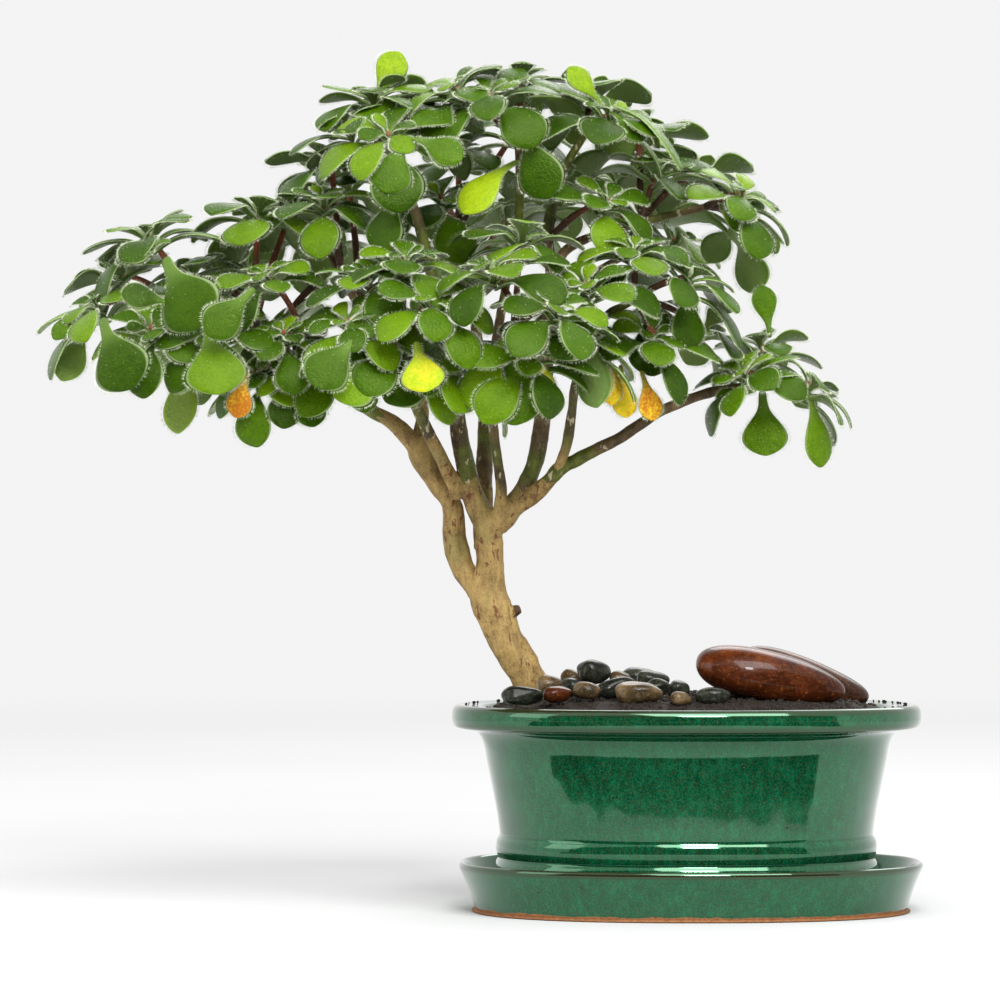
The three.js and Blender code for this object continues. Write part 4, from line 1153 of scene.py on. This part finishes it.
# %% Table
ROOM_WHITE = (0.9, 0.9, 0.9)
HAZE = (0.5, 2.2)
floor_finish = Finish("table", Specular_IOR_Level=0.0)
floor_tone = floor_finish.ramp(
    floor_finish.noise(3, 2), (0.3, (0.62, 0.62, 0.622)), (0.7, (0.64, 0.64, 0.641))
)
floor_mesh = new_mesh(
    "table", [[-9, -6, 0], [9, -6, 0], [9, 24, 0], [-9, 24, 0]], [np.array([[0, 1, 2, 3]])]
)
floor = bpy.data.objects.new("table", floor_mesh)
away = floor_finish.node("ShaderNodeVectorMath", {"operation": "LENGTH"}, {0: floor_finish.place}, "Value")
haze = away.between(*HAZE)
floor_finish.shader.inputs["Emission Strength"].default_value = 1.0
floor_mesh.materials.append(
    floor_finish.feed(
        Base_Color=floor_finish.mix(haze, floor_tone, (0, 0, 0)),
        Emission_Color=floor_finish.mix(haze, (0, 0, 0), ROOM_WHITE),
        Roughness=0.8 + floor_finish.noise(3) * 0.1,
    )
)
bpy.context.scene.collection.objects.link(floor)
floor.location.z = -0.2 * MM
print("table fades from", HAZE[0], "to", HAZE[1], "m")

# %% [markdown]
# Dark cloth gives the glaze something deep to mirror. It lies on the table in front of the pot as a fan,
# and a dark card stands behind the camera. Only reflections see the two. The fan's near edge is a distance
# from the saucer's middle for each bearing, in metres and radians. It comes closer towards the sides,
# because the pot's wall curves away there, and it is ragged, which makes the uneven lower edge of the
# reflection.

# %% Cards for the reflections
FAN_STEPS = 91
FAR_EDGE = 2.2
turn = np.linspace(-1.08, 0.98, FAN_STEPS)
ragged = ripple(np.stack([turn, 0 * turn, 0 * turn], axis=1), 0.16, 3)
bearing = np.stack([np.sin(turn), -np.cos(turn), 0 * turn], axis=1)
near_edge = bearing * (0.316 - 0.2 * turn**2 + 0.13 * turn**4 + 0.007 * ragged)[:, None]
fan_points = np.concatenate([near_edge, bearing * FAR_EDGE])
flag_mesh = new_mesh("flag", fan_points, [lattice(2, FAN_STEPS, wrap=False)])
room_corners = [[-5, -3.2, 0], [5, -3.2, 0], [5, -3.2, 2.4], [-5, -3.2, 2.4]]
room_mesh = new_mesh("dark_room", room_corners, [np.array([[0, 1, 2, 3]])])
flag_finish = Finish("flag", Specular_IOR_Level=0.0)
flag_tone = flag_finish.ramp(
    flag_finish.noise(12), (0.3, (0.002, 0.002, 0.002)), (0.7, (0.008, 0.009, 0.008))
)
flag_cloth = flag_finish.feed(Base_Color=flag_tone, Roughness=0.9 + flag_finish.noise(9) * 0.1)
cards = [bpy.data.objects.new(mesh.name, mesh) for mesh in (flag_mesh, room_mesh)]
for card in cards:
    card.data.materials.append(flag_cloth)
    card.visible_camera = card.visible_diffuse = card.visible_shadow = False
    bpy.context.scene.collection.objects.link(card)
cards[0].location.z = 2 * MM
print("cards", [card.name for card in cards])

# %% [markdown]
# The room is one even white world, so shadows are faint. Four soft boxes add to it: a broad key in front
# and above, a small flash that makes the sharp highlights, a weak fill from the left, and one behind that
# lights the leaves through. Each is an area light that a constraint turns towards its aim.

# %% Room and lamps
world = bpy.data.worlds.new("white room")
world.use_nodes = True
world.node_tree.nodes["Background"].inputs["Color"].default_value = (*ROOM_WHITE, 1)
world.node_tree.nodes["Background"].inputs["Strength"].default_value = 1.0
bpy.context.scene.world = world


def soft_box(name, place, aim, width, height, power):
    """An area light at a place, facing an aim point."""
    data = bpy.data.lights.new(name, "AREA")
    data.shape = "RECTANGLE"
    data.size = width
    data.size_y = height
    data.energy = power
    light = bpy.data.objects.new(name, data)
    light.location = place
    toward = bpy.data.objects.new(name + "_aim", None)
    toward.location = aim
    track = light.constraints.new("TRACK_TO")
    track.target = toward
    for item in (light, toward):
        bpy.context.scene.collection.objects.link(item)
    print(name, "light", power, "W")


soft_box("key", (0.3, -1.3, 1.5), (-0.06, 0, 0.17), 1.3, 1.1, 36)
soft_box("flash", (0.15, -1.7, 1.0), (-0.06, 0, 0.17), 0.3, 0.3, 12)
soft_box("fill", (-1.6, -0.7, 0.8), (-0.06, 0, 0.15), 0.9, 0.9, 5)
soft_box("back", (0.3, 1.4, 1.2), (-0.06, 0, 0.2), 1.2, 0.8, 9)

# %% [markdown]
# ## Sizes
# The finished pieces are meant to keep to the plain model's box, give or take a few millimetres of leaf.
# Both boxes are kept in `sizes`, and the box of the finished pieces is printed.

# %% Sizes
bpy.context.view_layer.update()
boxes = [np.array([o.matrix_world @ v.co for v in o.data.vertices]) for o in bpy.data.objects
         if o.type == "MESH" and o not in (floor, *cards) and "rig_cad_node" not in o]
low, high = np.min([b.min(0) for b in boxes], axis=0), np.max([b.max(0) for b in boxes], axis=0)
sizes = {
    "cad_box": [[float(v) for v in cad_low], [float(v) for v in cad_high]],
    "visual_box": [[float(v) for v in low], [float(v) for v in high]],
}
print("visual box", low.round(4), high.round(4))
